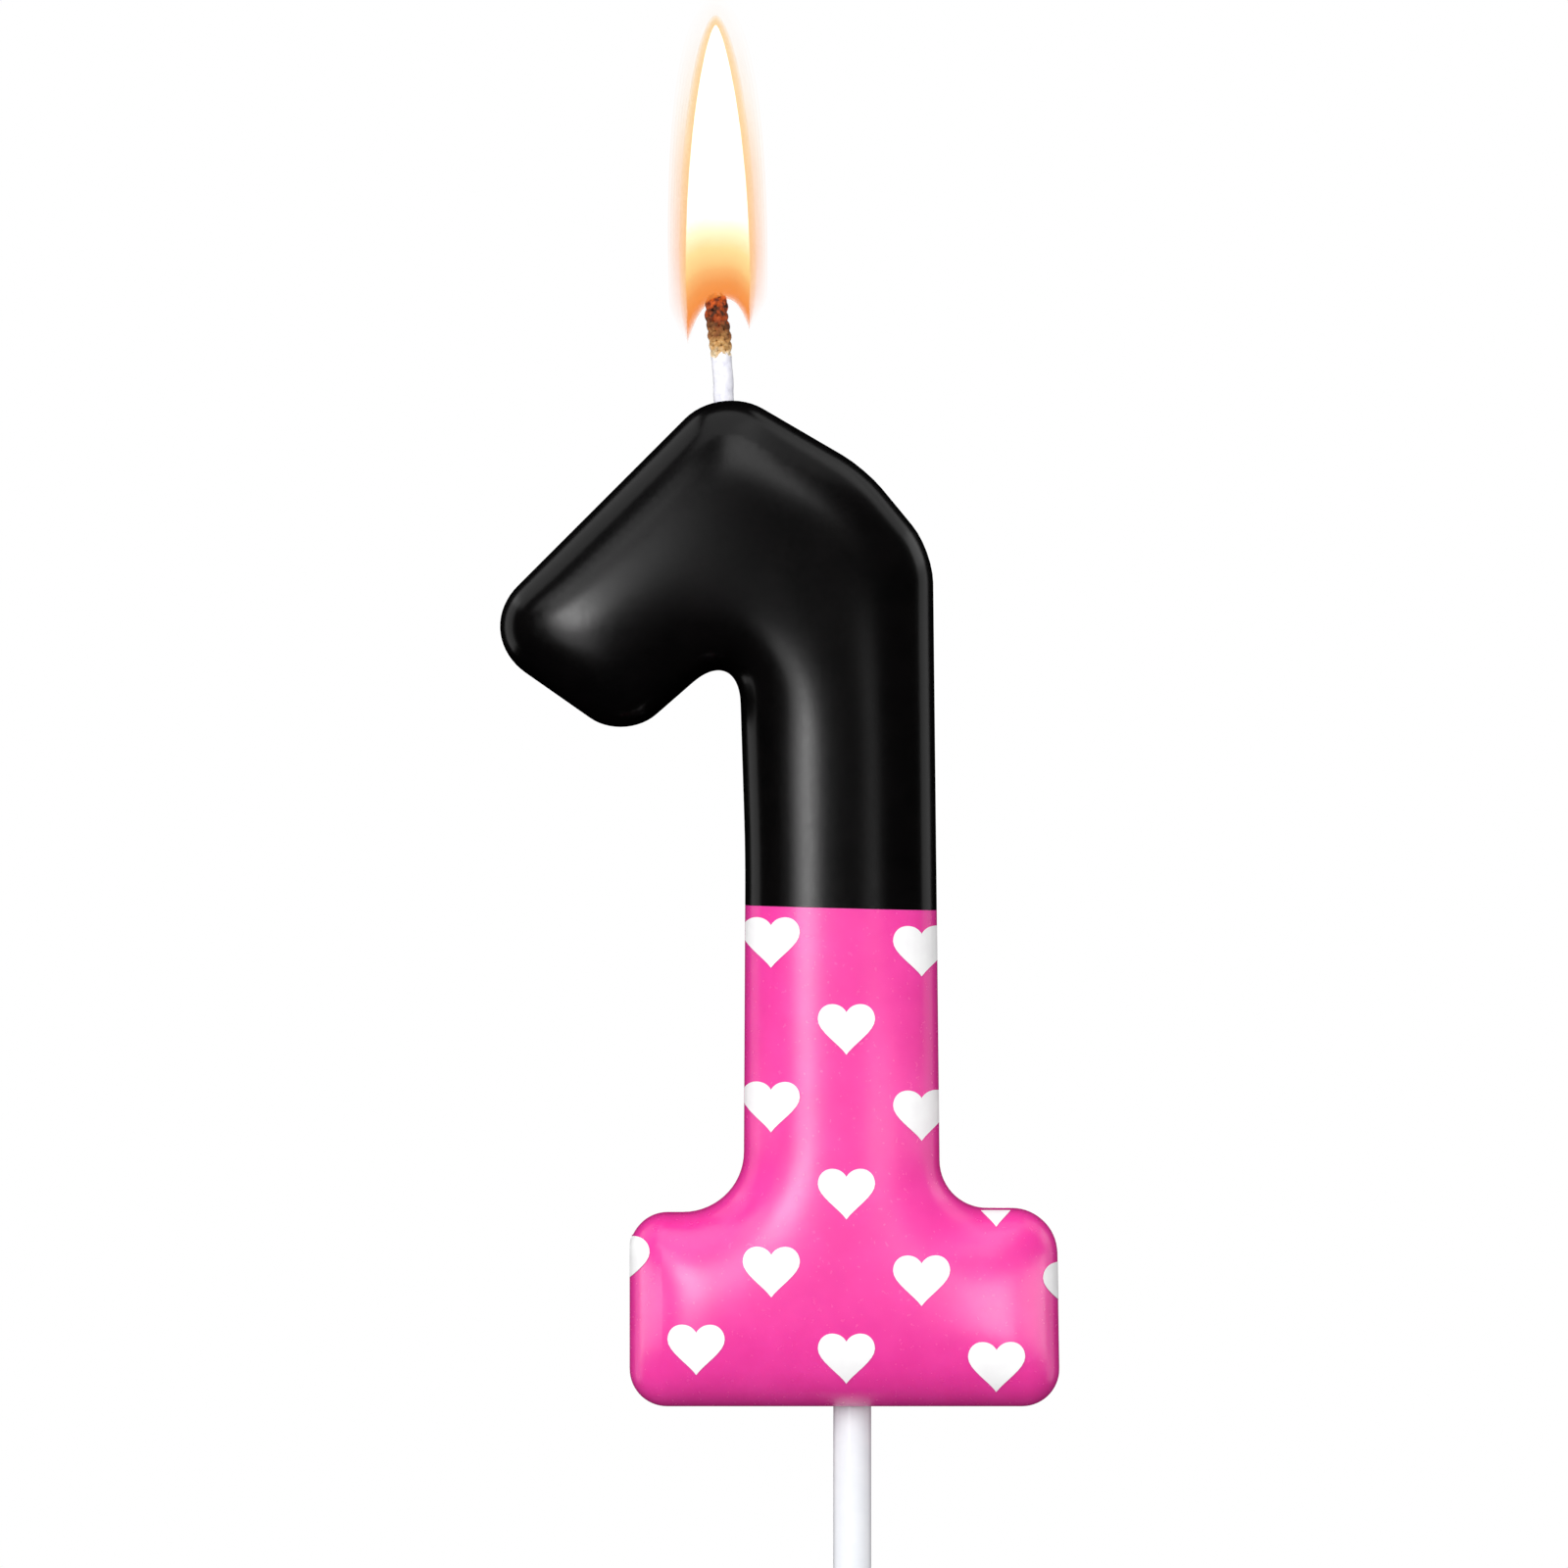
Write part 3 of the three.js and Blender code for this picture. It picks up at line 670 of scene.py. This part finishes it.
def stick_profile():
    """From the middle of the lower end, round its chamfer, up past the grip rings to the top."""
    inner = STICK_RADIUS - CHAMFER
    points = [(0, 0), (inner, 0)]
    for i in range(1, CHAMFER_STEPS + 1):
        turn = i / CHAMFER_STEPS * math.pi / 2
        points.append((inner + CHAMFER * math.sin(turn), CHAMFER - CHAMFER * math.cos(turn)))
    for k in range(1, SHANK_STEPS):
        points.append((STICK_RADIUS, CHAMFER + (SHANK_TOP - CHAMFER) * k / SHANK_STEPS))
    for ring in (2, 1):
        middle = STICK_TOP - GRIP_DROP - ring * GRIP_SPACING
        for i in range(GRIP_STEPS + 1):
            share = i / GRIP_STEPS
            swell = GRIP_RISE * math.sin(math.pi * share)
            points.append((STICK_RADIUS + swell, middle + (share - 0.5) * GRIP_WIDTH))
    points += [(STICK_RADIUS, STICK_TOP - CHAMFER), (inner, STICK_TOP), (0, STICK_TOP)]
    return points


finish_piece("stick", turned(stick_profile()), stick_plastic, ["stick"])
print("stick is", round(STICK_TOP / MM, 1), "mm long,", 2 * STICK_RADIUS / MM, "mm thick")

# %% [markdown]
# ## Hearts
# The hearts are a thin white print. Each is drawn flat as an outline, cut off where the face
# ends, and laid on the crown with a little thickness of its own.

# %% White print
print_ink, shader = new_material("print_ink")
cloud = add_mottle(print_ink, 1.2, 1.0)
tone = add_ramp(print_ink, cloud, [(0.3, (0.90, 0.89, 0.90)), (0.7, (0.94, 0.94, 0.94))])
print_ink.node_tree.links.new(tone, shader.inputs["Base Color"])
shine = add_range(print_ink, cloud, 0.40, 0.5)
print_ink.node_tree.links.new(shine, shader.inputs["Roughness"])
print("made", print_ink.name)

# %% Outline of a heart
HEART_HALF = 3.95 / 2 * MM
HEART_HEIGHT = 3.5 * MM
HEART_COLUMN = 5.2 * MM
HEART_PITCH = 11.4 * MM
HEART_SINK = 0.3 * MM
HEART_FIRST = Vector((-0.44 * MM, UNDERSIDE + 1.78 * MM))
CURVE_SHARES = [i / 8 for i in range(8)]


def bezier(a, b, c, d):
    """Points along one cubic curve, without its last point."""
    return [
        a * (1 - t) ** 3 + 3 * b * t * (1 - t) ** 2 + 3 * c * t * t * (1 - t) + d * t ** 3
        for t in CURVE_SHARES
    ]


def heart_outline(tip):
    """A heart that stands on its tip, as points in x and z."""
    w, h = HEART_HALF, HEART_HEIGHT
    widest = Vector((w, 0.7 * h))
    crest = Vector((w / 2, h))
    dent = Vector((0, 0.84 * h))
    flank = bezier(Vector((0, 0)), Vector((w / 4, 0.21 * h)), Vector((w, 0.46 * h)), widest)
    lobe = bezier(widest, Vector((w, 0.88 * h)), Vector((0.78 * w, h)), crest)
    cleft = bezier(crest, Vector((0.28 * w, h)), Vector((0.1 * w, 0.94 * h)), dent)
    right = flank + lobe + cleft
    left = [Vector((-p.x, p.y)) for p in reversed(right[1:])]
    return [tip + p for p in right + [dent] + left]


# %% Where the hearts stand
PRINT_EDGE = 0.05 * MM
LEAST_AREA = 0.4 * MM ** 2


def heart_tips():
    """Tips of all hearts that meet the pink face, from the top row down."""
    tips = []
    for column in range(-3, 4):
        for row in range(-1, 4):
            x = HEART_FIRST.x + column * HEART_COLUMN
            z = HEART_FIRST.y - column * HEART_SINK + (row + (column % 2) / 2) * HEART_PITCH
            if UNDERSIDE < z < DIP_HEIGHT - HEART_HEIGHT:
                tips.append(Vector((x, z)))
    return sorted(tips, key=lambda p: (-round(p.y / MM, 3), p.x))


def straight_sides():
    """Each straight side of the sharp outline, as its two ends and its outward direction."""
    for (x1, z1, _), (x2, z2, _) in zip(CORNERS, CORNERS[1:] + CORNERS[:1]):
        start = Vector((x1, 0, z1))
        end = Vector((x2, 0, z2))
        along = (end - start).normalized()
        yield start, end, Vector((-along.z, 0, along.x)) * -1


def printed_area(bm):
    """How much of a flat mesh lies on the numeral."""
    area = 0
    for face in bm.faces:
        middle = face.calc_center_median()
        if room_at(np.array([middle.x]), np.array([middle.z]))[0] > 0:
            area += face.calc_area()
    return area


def flat_heart(tip):
    """The flat face of one heart, trimmed to the numeral. It is empty where nothing is left."""
    bm = bmesh.new()
    verts = [bm.verts.new((p.x, 0, p.y)) for p in heart_outline(tip)]
    bm.faces.new(verts).normal_update()
    for start, end, outward in straight_sides():
        along = (end - start).normalized()
        spots = [v.co - start for v in bm.verts]
        beside = [spot for spot in spots if 0 < spot.dot(along) < (end - start).length]
        if not any(-ring_depths[-1] < spot.dot(outward) < HEART_HEIGHT for spot in beside):
            continue
        for depth in [PRINT_EDGE] + ring_depths:
            bmesh.ops.bisect_plane(
                bm, geom=bm.verts[:] + bm.edges[:] + bm.faces[:], plane_co=start - depth * outward,
                plane_no=outward, clear_outer=depth == PRINT_EDGE,
            )
    if printed_area(bm) < LEAST_AREA:
        bm.clear()
    return bm


print("places for hearts:", len(heart_tips()))


# %% Lay a heart on the crown
PRINT_LIFT = 0.025 * MM
PRINT_THICKNESS = 0.03 * MM
PRINT_GRID = 0.4 * MM


def laid_heart(flat, side):
    """A closed print of even thickness on the front (-1) or the back (+1) face."""
    bm = flat.copy()
    grid_cut(bm, bm.faces[:], PRINT_GRID)
    bmesh.ops.triangulate(bm, faces=bm.faces[:])
    bm.verts.ensure_lookup_table()
    x = np.array([v.co.x for v in bm.verts])
    z = np.array([v.co.z for v in bm.verts])
    for vert, place in zip(bm.verts, on_crown(x, z, PRINT_LIFT + PRINT_THICKNESS)):
        vert.co = (place[0], side * place[1], place[2])
    bmesh.ops.recalc_face_normals(bm, faces=bm.faces[:])
    bm.normal_update()
    if sum(f.normal.y for f in bm.faces) * side < 0:
        bmesh.ops.reverse_faces(bm, faces=bm.faces[:])
    bmesh.ops.solidify(bm, geom=bm.faces[:], thickness=PRINT_THICKNESS)
    return bm


hearts = 0
for tip in heart_tips():
    flat = flat_heart(tip)
    if not flat.faces:
        continue
    hearts += 1
    for side, face in ((-1, "front"), (1, "back")):
        name = f"heart_{face}_{hearts:02d}"
        low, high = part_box(name)
        middle = (low + high) / 2
        if abs(middle.z - tip.y) > HEART_HEIGHT:
            print("CHECK", name, middle / MM, tip / MM)
        finish_piece(name, laid_heart(flat, side), print_ink, [name])
    flat.free()
print("hearts on each face:", hearts)

# %% [markdown]
# ## Wick
# The wick is braided cotton. Twelve yarns circle the same centre line, six each way, and rise and
# dip as they pass over each other. A thick straight yarn fills the middle. Each yarn is a curve
# with a round section. Above the wax they swell loose, and at the top they are burnt short and
# splay apart. The colour follows the height: white where the wax soaks it, tan cotton above,
# then charred, with a glowing tip.

# %% Route of the wick
wick_low, wick_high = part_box("wick")
WICK_RADIUS = 0.65 * MM
STEM_MIDDLE = wick_high.x - WICK_RADIUS
WICK_FROM_APEX = 0.27 * MM
WICK_ACROSS = APEX.x + WICK_FROM_APEX - STEM_MIDDLE
WICK_LEAN = 0.5 * MM
WICK_EXPOSED = wick_high.z - TOP
INSIDE_ROUTE = [(0.08, 19), (0.5, 10), (0.93, 4), (1, 0)]
OUTSIDE_ROUTE = [(0.06, 0.16), (0.3, 0.35), (0.66, 0.62), (0.96, 0.72), (1.06, 0.81), (0.96, 1)]


def smooth_route(points, steps):
    """A smooth line through points: a Catmull-Rom curve with the same steps between each two."""
    before = 2 * np.array(points[0]) - points[1]
    after = 2 * np.array(points[-1]) - points[-2]
    p = np.array([before, *points, after])
    t = np.linspace(0, 1, steps, endpoint=False)[:, None]
    spans = []
    for a, b, c, d in zip(p, p[1:], p[2:], p[3:]):
        bend = 2 * a - 5 * b + 4 * c - d
        twist = 3 * b - a - 3 * c + d
        spans.append(b + (c - a) * t / 2 + bend * t ** 2 / 2 + twist * t ** 3 / 2)
    return np.vstack([*spans, p[-2:-1]])


wick_points = [(STEM_MIDDLE, wick_low.z), (STEM_MIDDLE, (wick_low.z + TOP) / 2)]
for share, drop in INSIDE_ROUTE:
    wick_points.append((STEM_MIDDLE + share * WICK_ACROSS, TOP - drop * MM))
for share, rise in OUTSIDE_ROUTE:
    wick_points.append((STEM_MIDDLE + WICK_ACROSS - share * WICK_LEAN, TOP + rise * WICK_EXPOSED))
wick_line = smooth_route(wick_points, 40)
wick_steps = np.linalg.norm(np.diff(wick_line, axis=0), axis=1)
wick_run = np.concatenate([[0], np.cumsum(wick_steps)])
wick_length = wick_run[-1]
print("wick is", round(wick_length / MM, 1), "mm long,", round(WICK_EXPOSED / MM, 1), "mm in the open")


def along_wick(run):
    """The wick's middle and the direction across it, at distances from its lower end."""
    x = np.interp(run, wick_run, wick_line[:, 0])
    z = np.interp(run, wick_run, wick_line[:, 1])
    dx = np.gradient(x, run)
    dz = np.gradient(z, run)
    size = np.hypot(dx, dz)
    return x, z, dz / size, -dx / size


# %% Yarns of the braid
YARNS = 12
YARN_RADIUS = 0.2 * MM
LAY = 4.2 * MM
LAY_OFFSET = 0.26  # turns the left-hand yarns a little, in radians
WEAVE = 0.05 * MM
WANDER = 0.03 * MM
FRAY = 0.7 * MM
FRAY_SWELL = 0.18 * MM
LOOSE_FROM = np.interp(TOP + 2.9 * MM, wick_line[:, 1], wick_run)
LOOSE_RUN = 1.2 * MM
LOOSE_SWELL = 0.12 * MM
TAPER = 0.35 * MM
chance = random.Random(7)


def yarn_points(number):
    """One yarn's points and its thickness at each point."""
    way = 1 if number % 2 else -1
    start = 2 * math.pi * (number // 2) / (YARNS / 2) + (LAY_OFFSET if way > 0 else 0)
    end = wick_length - chance.uniform(0, 0.25) * MM - 0.3 * MM * abs(math.sin(start))
    run = np.linspace(0, end, 330)
    x, z, across_x, across_z = along_wick(run)
    angle = start + way * 2 * math.pi * run / LAY
    weave = WEAVE * way * np.cos(angle * YARNS / 4)
    splay = np.clip((run - wick_length + FRAY) / FRAY, 0, 1) ** 2
    loose = np.clip((run - LOOSE_FROM) / LOOSE_RUN, 0, 1)
    reach = WICK_RADIUS - YARN_RADIUS + weave + loose * LOOSE_SWELL + splay * chance.random() * FRAY_SWELL
    wander = WANDER * np.sin(run / MM * 2.3 + number)
    side = (reach + wander) * np.cos(angle)
    points = np.stack([x + side * across_x, reach * np.sin(angle), z + side * across_z], -1)
    ends = np.clip((end - run) / TAPER, 0.3, 1)
    return points, ends


def heart_yarn():
    """The straight yarn that fills the middle of the braid."""
    run = np.linspace(0, wick_length - 0.25 * MM, 200)
    x, z, across_x, across_z = along_wick(run)
    points = np.stack([x, 0 * x, z], -1)
    return points, np.full(len(run), 2.3)


def braid():
    """All yarns as one closed-tube mesh."""
    curve = bpy.data.curves.new("braid", "CURVE")
    curve.dimensions = "3D"
    curve.bevel_depth = YARN_RADIUS
    curve.bevel_resolution = 2
    curve.use_fill_caps = True
    for points, ends in [yarn_points(number) for number in range(YARNS)] + [heart_yarn()]:
        spline = curve.splines.new("POLY")
        spline.points.add(len(points) - 1)
        spline.points.foreach_set("co", np.hstack([points, np.ones((len(points), 1))]).ravel())
        spline.points.foreach_set("radius", ends)
    holder = bpy.data.objects.new("braid", curve)
    mesh = bpy.data.meshes.new_from_object(holder)
    bm = bmesh.new()
    bm.from_mesh(mesh)
    bpy.data.objects.remove(holder)
    bpy.data.curves.remove(curve)
    bpy.data.meshes.remove(mesh)
    return bm


# %% Cotton, from waxed to charred
def height_share(material, low, high):
    """A value that runs from 0 to 1 between two heights."""
    place = material.node_tree.nodes.new("ShaderNodeTexCoord")
    split = material.node_tree.nodes.new("ShaderNodeSeparateXYZ")
    share = material.node_tree.nodes.new("ShaderNodeMapRange")
    share.inputs["From Min"].default_value = low
    share.inputs["From Max"].default_value = high
    material.node_tree.links.new(place.outputs["Object"], split.inputs[0])
    material.node_tree.links.new(split.outputs["Z"], share.inputs["Value"])
    return share.outputs["Result"]


def add_math(material, operation, one, two):
    """One math node, on two values or numbers."""
    node = material.node_tree.nodes.new("ShaderNodeMath")
    node.operation = operation
    for socket, value in zip(node.inputs, (one, two)):
        if isinstance(value, bpy.types.NodeSocket):
            material.node_tree.links.new(value, socket)
        else:
            socket.default_value = value
    return node.outputs["Value"]


cotton, shader = new_material("cotton")
up = height_share(cotton, TOP, wick_high.z)
fibre = add_mottle(cotton, 0.16, 1.0)
patch = add_mottle(cotton, 0.7, 1.0)
streak = add_mottle(cotton, 0.34, 1.2)
patches = add_range(cotton, patch, -0.11, 0.11)
streaks = add_range(cotton, streak, -0.12, 0.12)
drift = add_math(cotton, "ADD", patches, streaks)
burn = add_math(cotton, "ADD", up, drift)
burnt = add_ramp(cotton, burn, [
    (0.34, (0.86, 0.84, 0.90)), (0.40, (0.78, 0.62, 0.40)), (0.52, (0.55, 0.30, 0.10)),
    (0.62, (0.26, 0.09, 0.022)), (0.74, (0.07, 0.02, 0.006)), (1.0, (0.014, 0.006, 0.004)),
])
cotton.node_tree.links.new(burnt, shader.inputs["Base Color"])
hot_patch = add_mottle(cotton, 0.45, 2.4)
near_tip = add_ramp(cotton, up, [(0.55, (0, 0, 0)), (0.95, (1, 1, 1))])
heat = add_math(cotton, "MULTIPLY", hot_patch, near_tip)
ember = add_ramp(cotton, heat, [
    (0.18, (0, 0, 0)), (0.42, (0.33, 0.045, 0.006)), (0.8, (0.85, 0.13, 0.01)),
])
cotton.node_tree.links.new(ember, shader.inputs["Emission Color"])
shader.inputs["Emission Strength"].default_value = 0.9
rough = add_range(cotton, fibre, 0.7, 0.95)
cotton.node_tree.links.new(rough, shader.inputs["Roughness"])
add_bump(cotton, shader, fibre, 0.03)
wick = finish_piece("wick", braid(), cotton, ["wick"])
wick.visible_glossy = False
print("wick has", len(wick.data.polygons), "faces")

# %% [markdown]
# ## Wax on the wick's foot
# Dipping leaves a thin white skin of wax round the lowest part of the wick. It follows the wick
# and ends in a ragged rim. A ring is extruded along the route, a step at a time.

# %% Primed wax
primed_wax, shader = new_material("primed_wax_finish")
cloud = add_mottle(primed_wax, 0.5, 1.0)
tone = add_ramp(primed_wax, cloud, [
    (0.25, (0.70, 0.69, 0.78)), (0.4, (0.84, 0.84, 0.93)), (0.7, (0.92, 0.91, 0.97)),
])
primed_wax.node_tree.links.new(tone, shader.inputs["Base Color"])
shine = add_range(primed_wax, cloud, 0.25, 0.45)
primed_wax.node_tree.links.new(shine, shader.inputs["Roughness"])
add_bump(primed_wax, shader, cloud, 0.05)
print("made", primed_wax.name)

# %% Wax sleeve
SLEEVE_LOW, SLEEVE_HIGH = [corner.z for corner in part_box("wick_wax_sleeve")]
SLEEVE_RADIUS = 0.71 * MM
SLEEVE_WALL = 0.12 * MM
SLEEVE_BUMP = 0.02 * MM
SLEEVE_RAG = 0.28 * MM
SLEEVE_STEPS = 22
SLEEVE_SIDES = 32


def wick_sleeve():
    """A thin closed skin round the wick with an uneven surface and a ragged upper rim."""
    luck = random.Random(3)
    bm = bmesh.new()
    start, end = np.interp([SLEEVE_LOW, SLEEVE_HIGH], wick_line[:, 1], wick_run)
    run = np.linspace(start, end, SLEEVE_STEPS)
    x, z, across_x, across_z = along_wick(run)
    ring = bmesh.ops.create_circle(bm, segments=SLEEVE_SIDES, radius=1)["verts"]
    flat = [v.co.copy() for v in ring]
    bumps = [[luck.uniform(-1, 1) for side in range(SLEEVE_SIDES)] for step in range(SLEEVE_STEPS)]
    for step in range(SLEEVE_STEPS):
        if step:
            edges = list({e for v in ring for e in v.link_edges if e.other_vert(v) in ring})
            grown = bmesh.ops.extrude_edge_only(bm, edges=edges)["geom"]
            fresh = {v for v in grown if isinstance(v, bmesh.types.BMVert)}
            ring = [next(e.other_vert(v) for e in v.link_edges if e.other_vert(v) in fresh) for v in ring]
        middle = Vector((x[step], 0, z[step]))
        side_way = Vector((across_x[step], 0, across_z[step]))
        rag = SLEEVE_RAG * (step / (SLEEVE_STEPS - 1)) ** 6
        for side, (vert, spot) in enumerate(zip(ring, flat)):
            turn = side * 2 * math.pi / SLEEVE_SIDES
            reach = SLEEVE_RADIUS + SLEEVE_BUMP * bumps[step][side]
            rise = Vector((0, 0, rag * math.sin(3 * turn + 1) * math.cos(turn)))
            vert.co = middle + reach * (spot.x * side_way + spot.y * Vector((0, 1, 0))) + rise
    bmesh.ops.smooth_vert(
        bm, verts=bm.verts[:], factor=0.5, use_axis_x=True, use_axis_y=True, use_axis_z=False,
    )
    bmesh.ops.recalc_face_normals(bm, faces=bm.faces[:])
    outward = 0
    for face in bm.faces:
        spot = face.calc_center_median()
        outward += (spot - Vector((x[0], 0, spot.z))).dot(face.normal)
    if outward < 0:
        bmesh.ops.reverse_faces(bm, faces=bm.faces[:])
    bmesh.ops.solidify(bm, geom=bm.faces[:], thickness=SLEEVE_WALL)
    return bm


sleeve = finish_piece("wick_wax_sleeve", wick_sleeve(), primed_wax, ["wick_wax_sleeve"])
sleeve.visible_glossy = False
print("sleeve is", round((SLEEVE_HIGH - SLEEVE_LOW) / MM, 1), "mm long")

# %% [markdown]
# ## Flame
# A flame has no skin. It is drawn here as nested closed teardrops of thin coloured light. Single
# layers are nearly clear, and they add up to a soft edge, while the core hides what is behind
# it. Underneath, the flame arches over the wick and hangs down in a tongue on each side. Every
# point keeps its height from before the arch was made, so the colours arch over the wick too.

# %% Sizes of the flame
flame_low, flame_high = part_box("flame")
FLAME_SHIFT = 0.12 * MM
FLAME_X = (flame_low.x + flame_high.x) / 2 + FLAME_SHIFT
FLAME_RADIUS = (flame_high.x - flame_low.x) / 2
LIP_RADIUS = 0.86 * FLAME_RADIUS
UNDER_WIDEST = 4.4 * MM
TIP_DROP = 0.15 * MM
FLAME_HEIGHT = flame_high.z - flame_low.z - TIP_DROP
WICK_IN_FLAME = 0.45 * MM
ARCH_RISE = wick_high.z - WICK_IN_FLAME - flame_low.z
ARCH_POWER = 2.8
ROOF_HEAT = 0.9 * MM
ARCH_FADE = 19 * MM
TONGUE_LEAN = 0.22
TAPER_POWER = 1.95
TIP_POWER = 0.6
TIP_DRIFT = 0.2 * MM
LEAST_RADIUS = 0.01 * MM
LIP_STEPS = 8
SIDE_STEPS = 48
print("flame is", round(FLAME_HEIGHT / MM, 1), "mm tall,", round(2 * FLAME_RADIUS / MM, 1), "mm across")


# %% Shape of one layer
def flame_radius(height, swell):
    """Radius of a layer over the flat height above its lip."""
    spread = min(1, height / UNDER_WIDEST)
    taper = max(0, (height - UNDER_WIDEST) / (FLAME_HEIGHT - UNDER_WIDEST))
    full = LIP_RADIUS + (FLAME_RADIUS - LIP_RADIUS) * (1 - (1 - spread) ** 2)
    bare = full * max(0, 1 - taper ** TAPER_POWER) ** TIP_POWER
    grown = swell * min(1, 2 * spread) * (1 + 0.3 * taper) * max(0, 1 - taper ** 6) ** 0.5
    return max(LEAST_RADIUS, bare + grown)


def flame_layer(swell):
    """A teardrop that is larger than the flame by a swell, with an arch under it."""
    stretch = 1 + 1.6 * swell / FLAME_HEIGHT
    points = [(LIP_RADIUS * i / LIP_STEPS, 0) for i in range(LIP_STEPS)]
    for i in range(SIDE_STEPS):
        height = FLAME_HEIGHT * math.sin(i / SIDE_STEPS * math.pi / 2) ** 1.5
        points.append((flame_radius(height, swell), height * stretch))
    points.append((0, FLAME_HEIGHT * stretch))
    bm = turned(points)
    rise = bm.verts.layers.float.new("rise")
    for vert in bm.verts:
        height = vert.co.z
        across = min(1, abs(vert.co.x) / LIP_RADIUS)
        vert[rise] = (height + ROOF_HEAT * (1 - across ** 2)) / FLAME_HEIGHT
        fade = max(0, 1 - height / ARCH_FADE) ** 2
        arch = ARCH_RISE * (1 - across ** ARCH_POWER) * fade
        lean = TONGUE_LEAN * vert.co.x * max(0, 1 - height / UNDER_WIDEST)
        drift = TIP_DRIFT * height / FLAME_HEIGHT
        vert.co = (vert.co.x + FLAME_X - drift, vert.co.y, flame_low.z + height + arch + lean)
    return bm


# %% Light of one layer
def by_rise(material):
    """The height that each point of the flame had before the arch."""
    node = material.node_tree.nodes.new("ShaderNodeAttribute")
    node.attribute_name = "rise"
    return node.outputs["Fac"]


def layer_light(name, colours, cover, strength):
    """Glowing air. Colour and cover follow the rise, in millimetres above the lip."""
    material, shader = new_material(name)
    rise = by_rise(material)
    total = FLAME_HEIGHT / MM
    shader.inputs["Base Color"].default_value = (0, 0, 0, 1)
    shader.inputs["Specular IOR Level"].default_value = 0
    shader.inputs["Roughness"].default_value = 1
    shader.inputs["Emission Strength"].default_value = strength
    tones = [(place / total, tuple(c / strength for c in colour)) for place, colour in colours]
    veil = [(place / total, (value, value, value)) for place, value in cover]
    material.node_tree.links.new(add_ramp(material, rise, tones), shader.inputs["Emission Color"])
    material.node_tree.links.new(add_ramp(material, rise, veil), shader.inputs["Alpha"])
    return material


PEACH = (1.0, 0.46, 0.24)
AMBER = (1.0, 0.66, 0.30)
ORANGE = (0.92, 0.26, 0.03)
TANGERINE = (1.0, 0.46, 0.12)
GOLD = (0.99, 0.60, 0.20)
STRAW = (1.1, 1.4, 0.6)
CREAM = (2.2, 2.5, 2.0)
CORE_STRENGTH = 4.2
GLARE = (CORE_STRENGTH, CORE_STRENGTH, CORE_STRENGTH)
halo_light = layer_light(
    "halo_light", [(3, PEACH), (16, AMBER)],
    [(0.3, 0), (3, 0.045), (6, 0.085), (12, 0.075), (17, 0.03), (22, 0.01)], 1,
)
edge_light = layer_light(
    "edge_light", [(1, ORANGE), (4, GOLD), (9, AMBER)],
    [(0.2, 0), (1.5, 0.08), (5, 0.16), (22, 0.20)], 1,
)
core_light = layer_light(
    "core_light",
    [(1.0, ORANGE), (2.4, ORANGE), (3.5, TANGERINE), (5.4, STRAW), (7.0, CREAM), (8.6, GLARE)],
    [(0.0, 0.0), (0.6, 0.3), (1.5, 0.8), (3.0, 0.97), (5.0, 1.0)], CORE_STRENGTH,
)
print("flame lights:", halo_light.name, edge_light.name, core_light.name)

# %% Layers from the outside in
HALO_SWELLS = [0.95, 0.78, 0.62, 0.47, 0.34, 0.22]
EDGE_SWELLS = [0.16, 0.07, -0.02, -0.11, -0.19]
CORE_SWELL = -0.27
layers = [(f"flame_halo_{i + 1}", swell, halo_light) for i, swell in enumerate(HALO_SWELLS)]
layers += [(f"flame_edge_{i + 1}", swell, edge_light) for i, swell in enumerate(EDGE_SWELLS)]
layers += [("flame_core", CORE_SWELL, core_light)]
for name, swell, light in layers:
    layer = finish_piece(name, flame_layer(swell * MM), light)
    layer.visible_diffuse = False
    layer.visible_glossy = False
    layer.visible_shadow = False
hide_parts("flame")
print("flame layers:", len(layers))
bpy.context.scene.cycles.transparent_max_bounces = 48
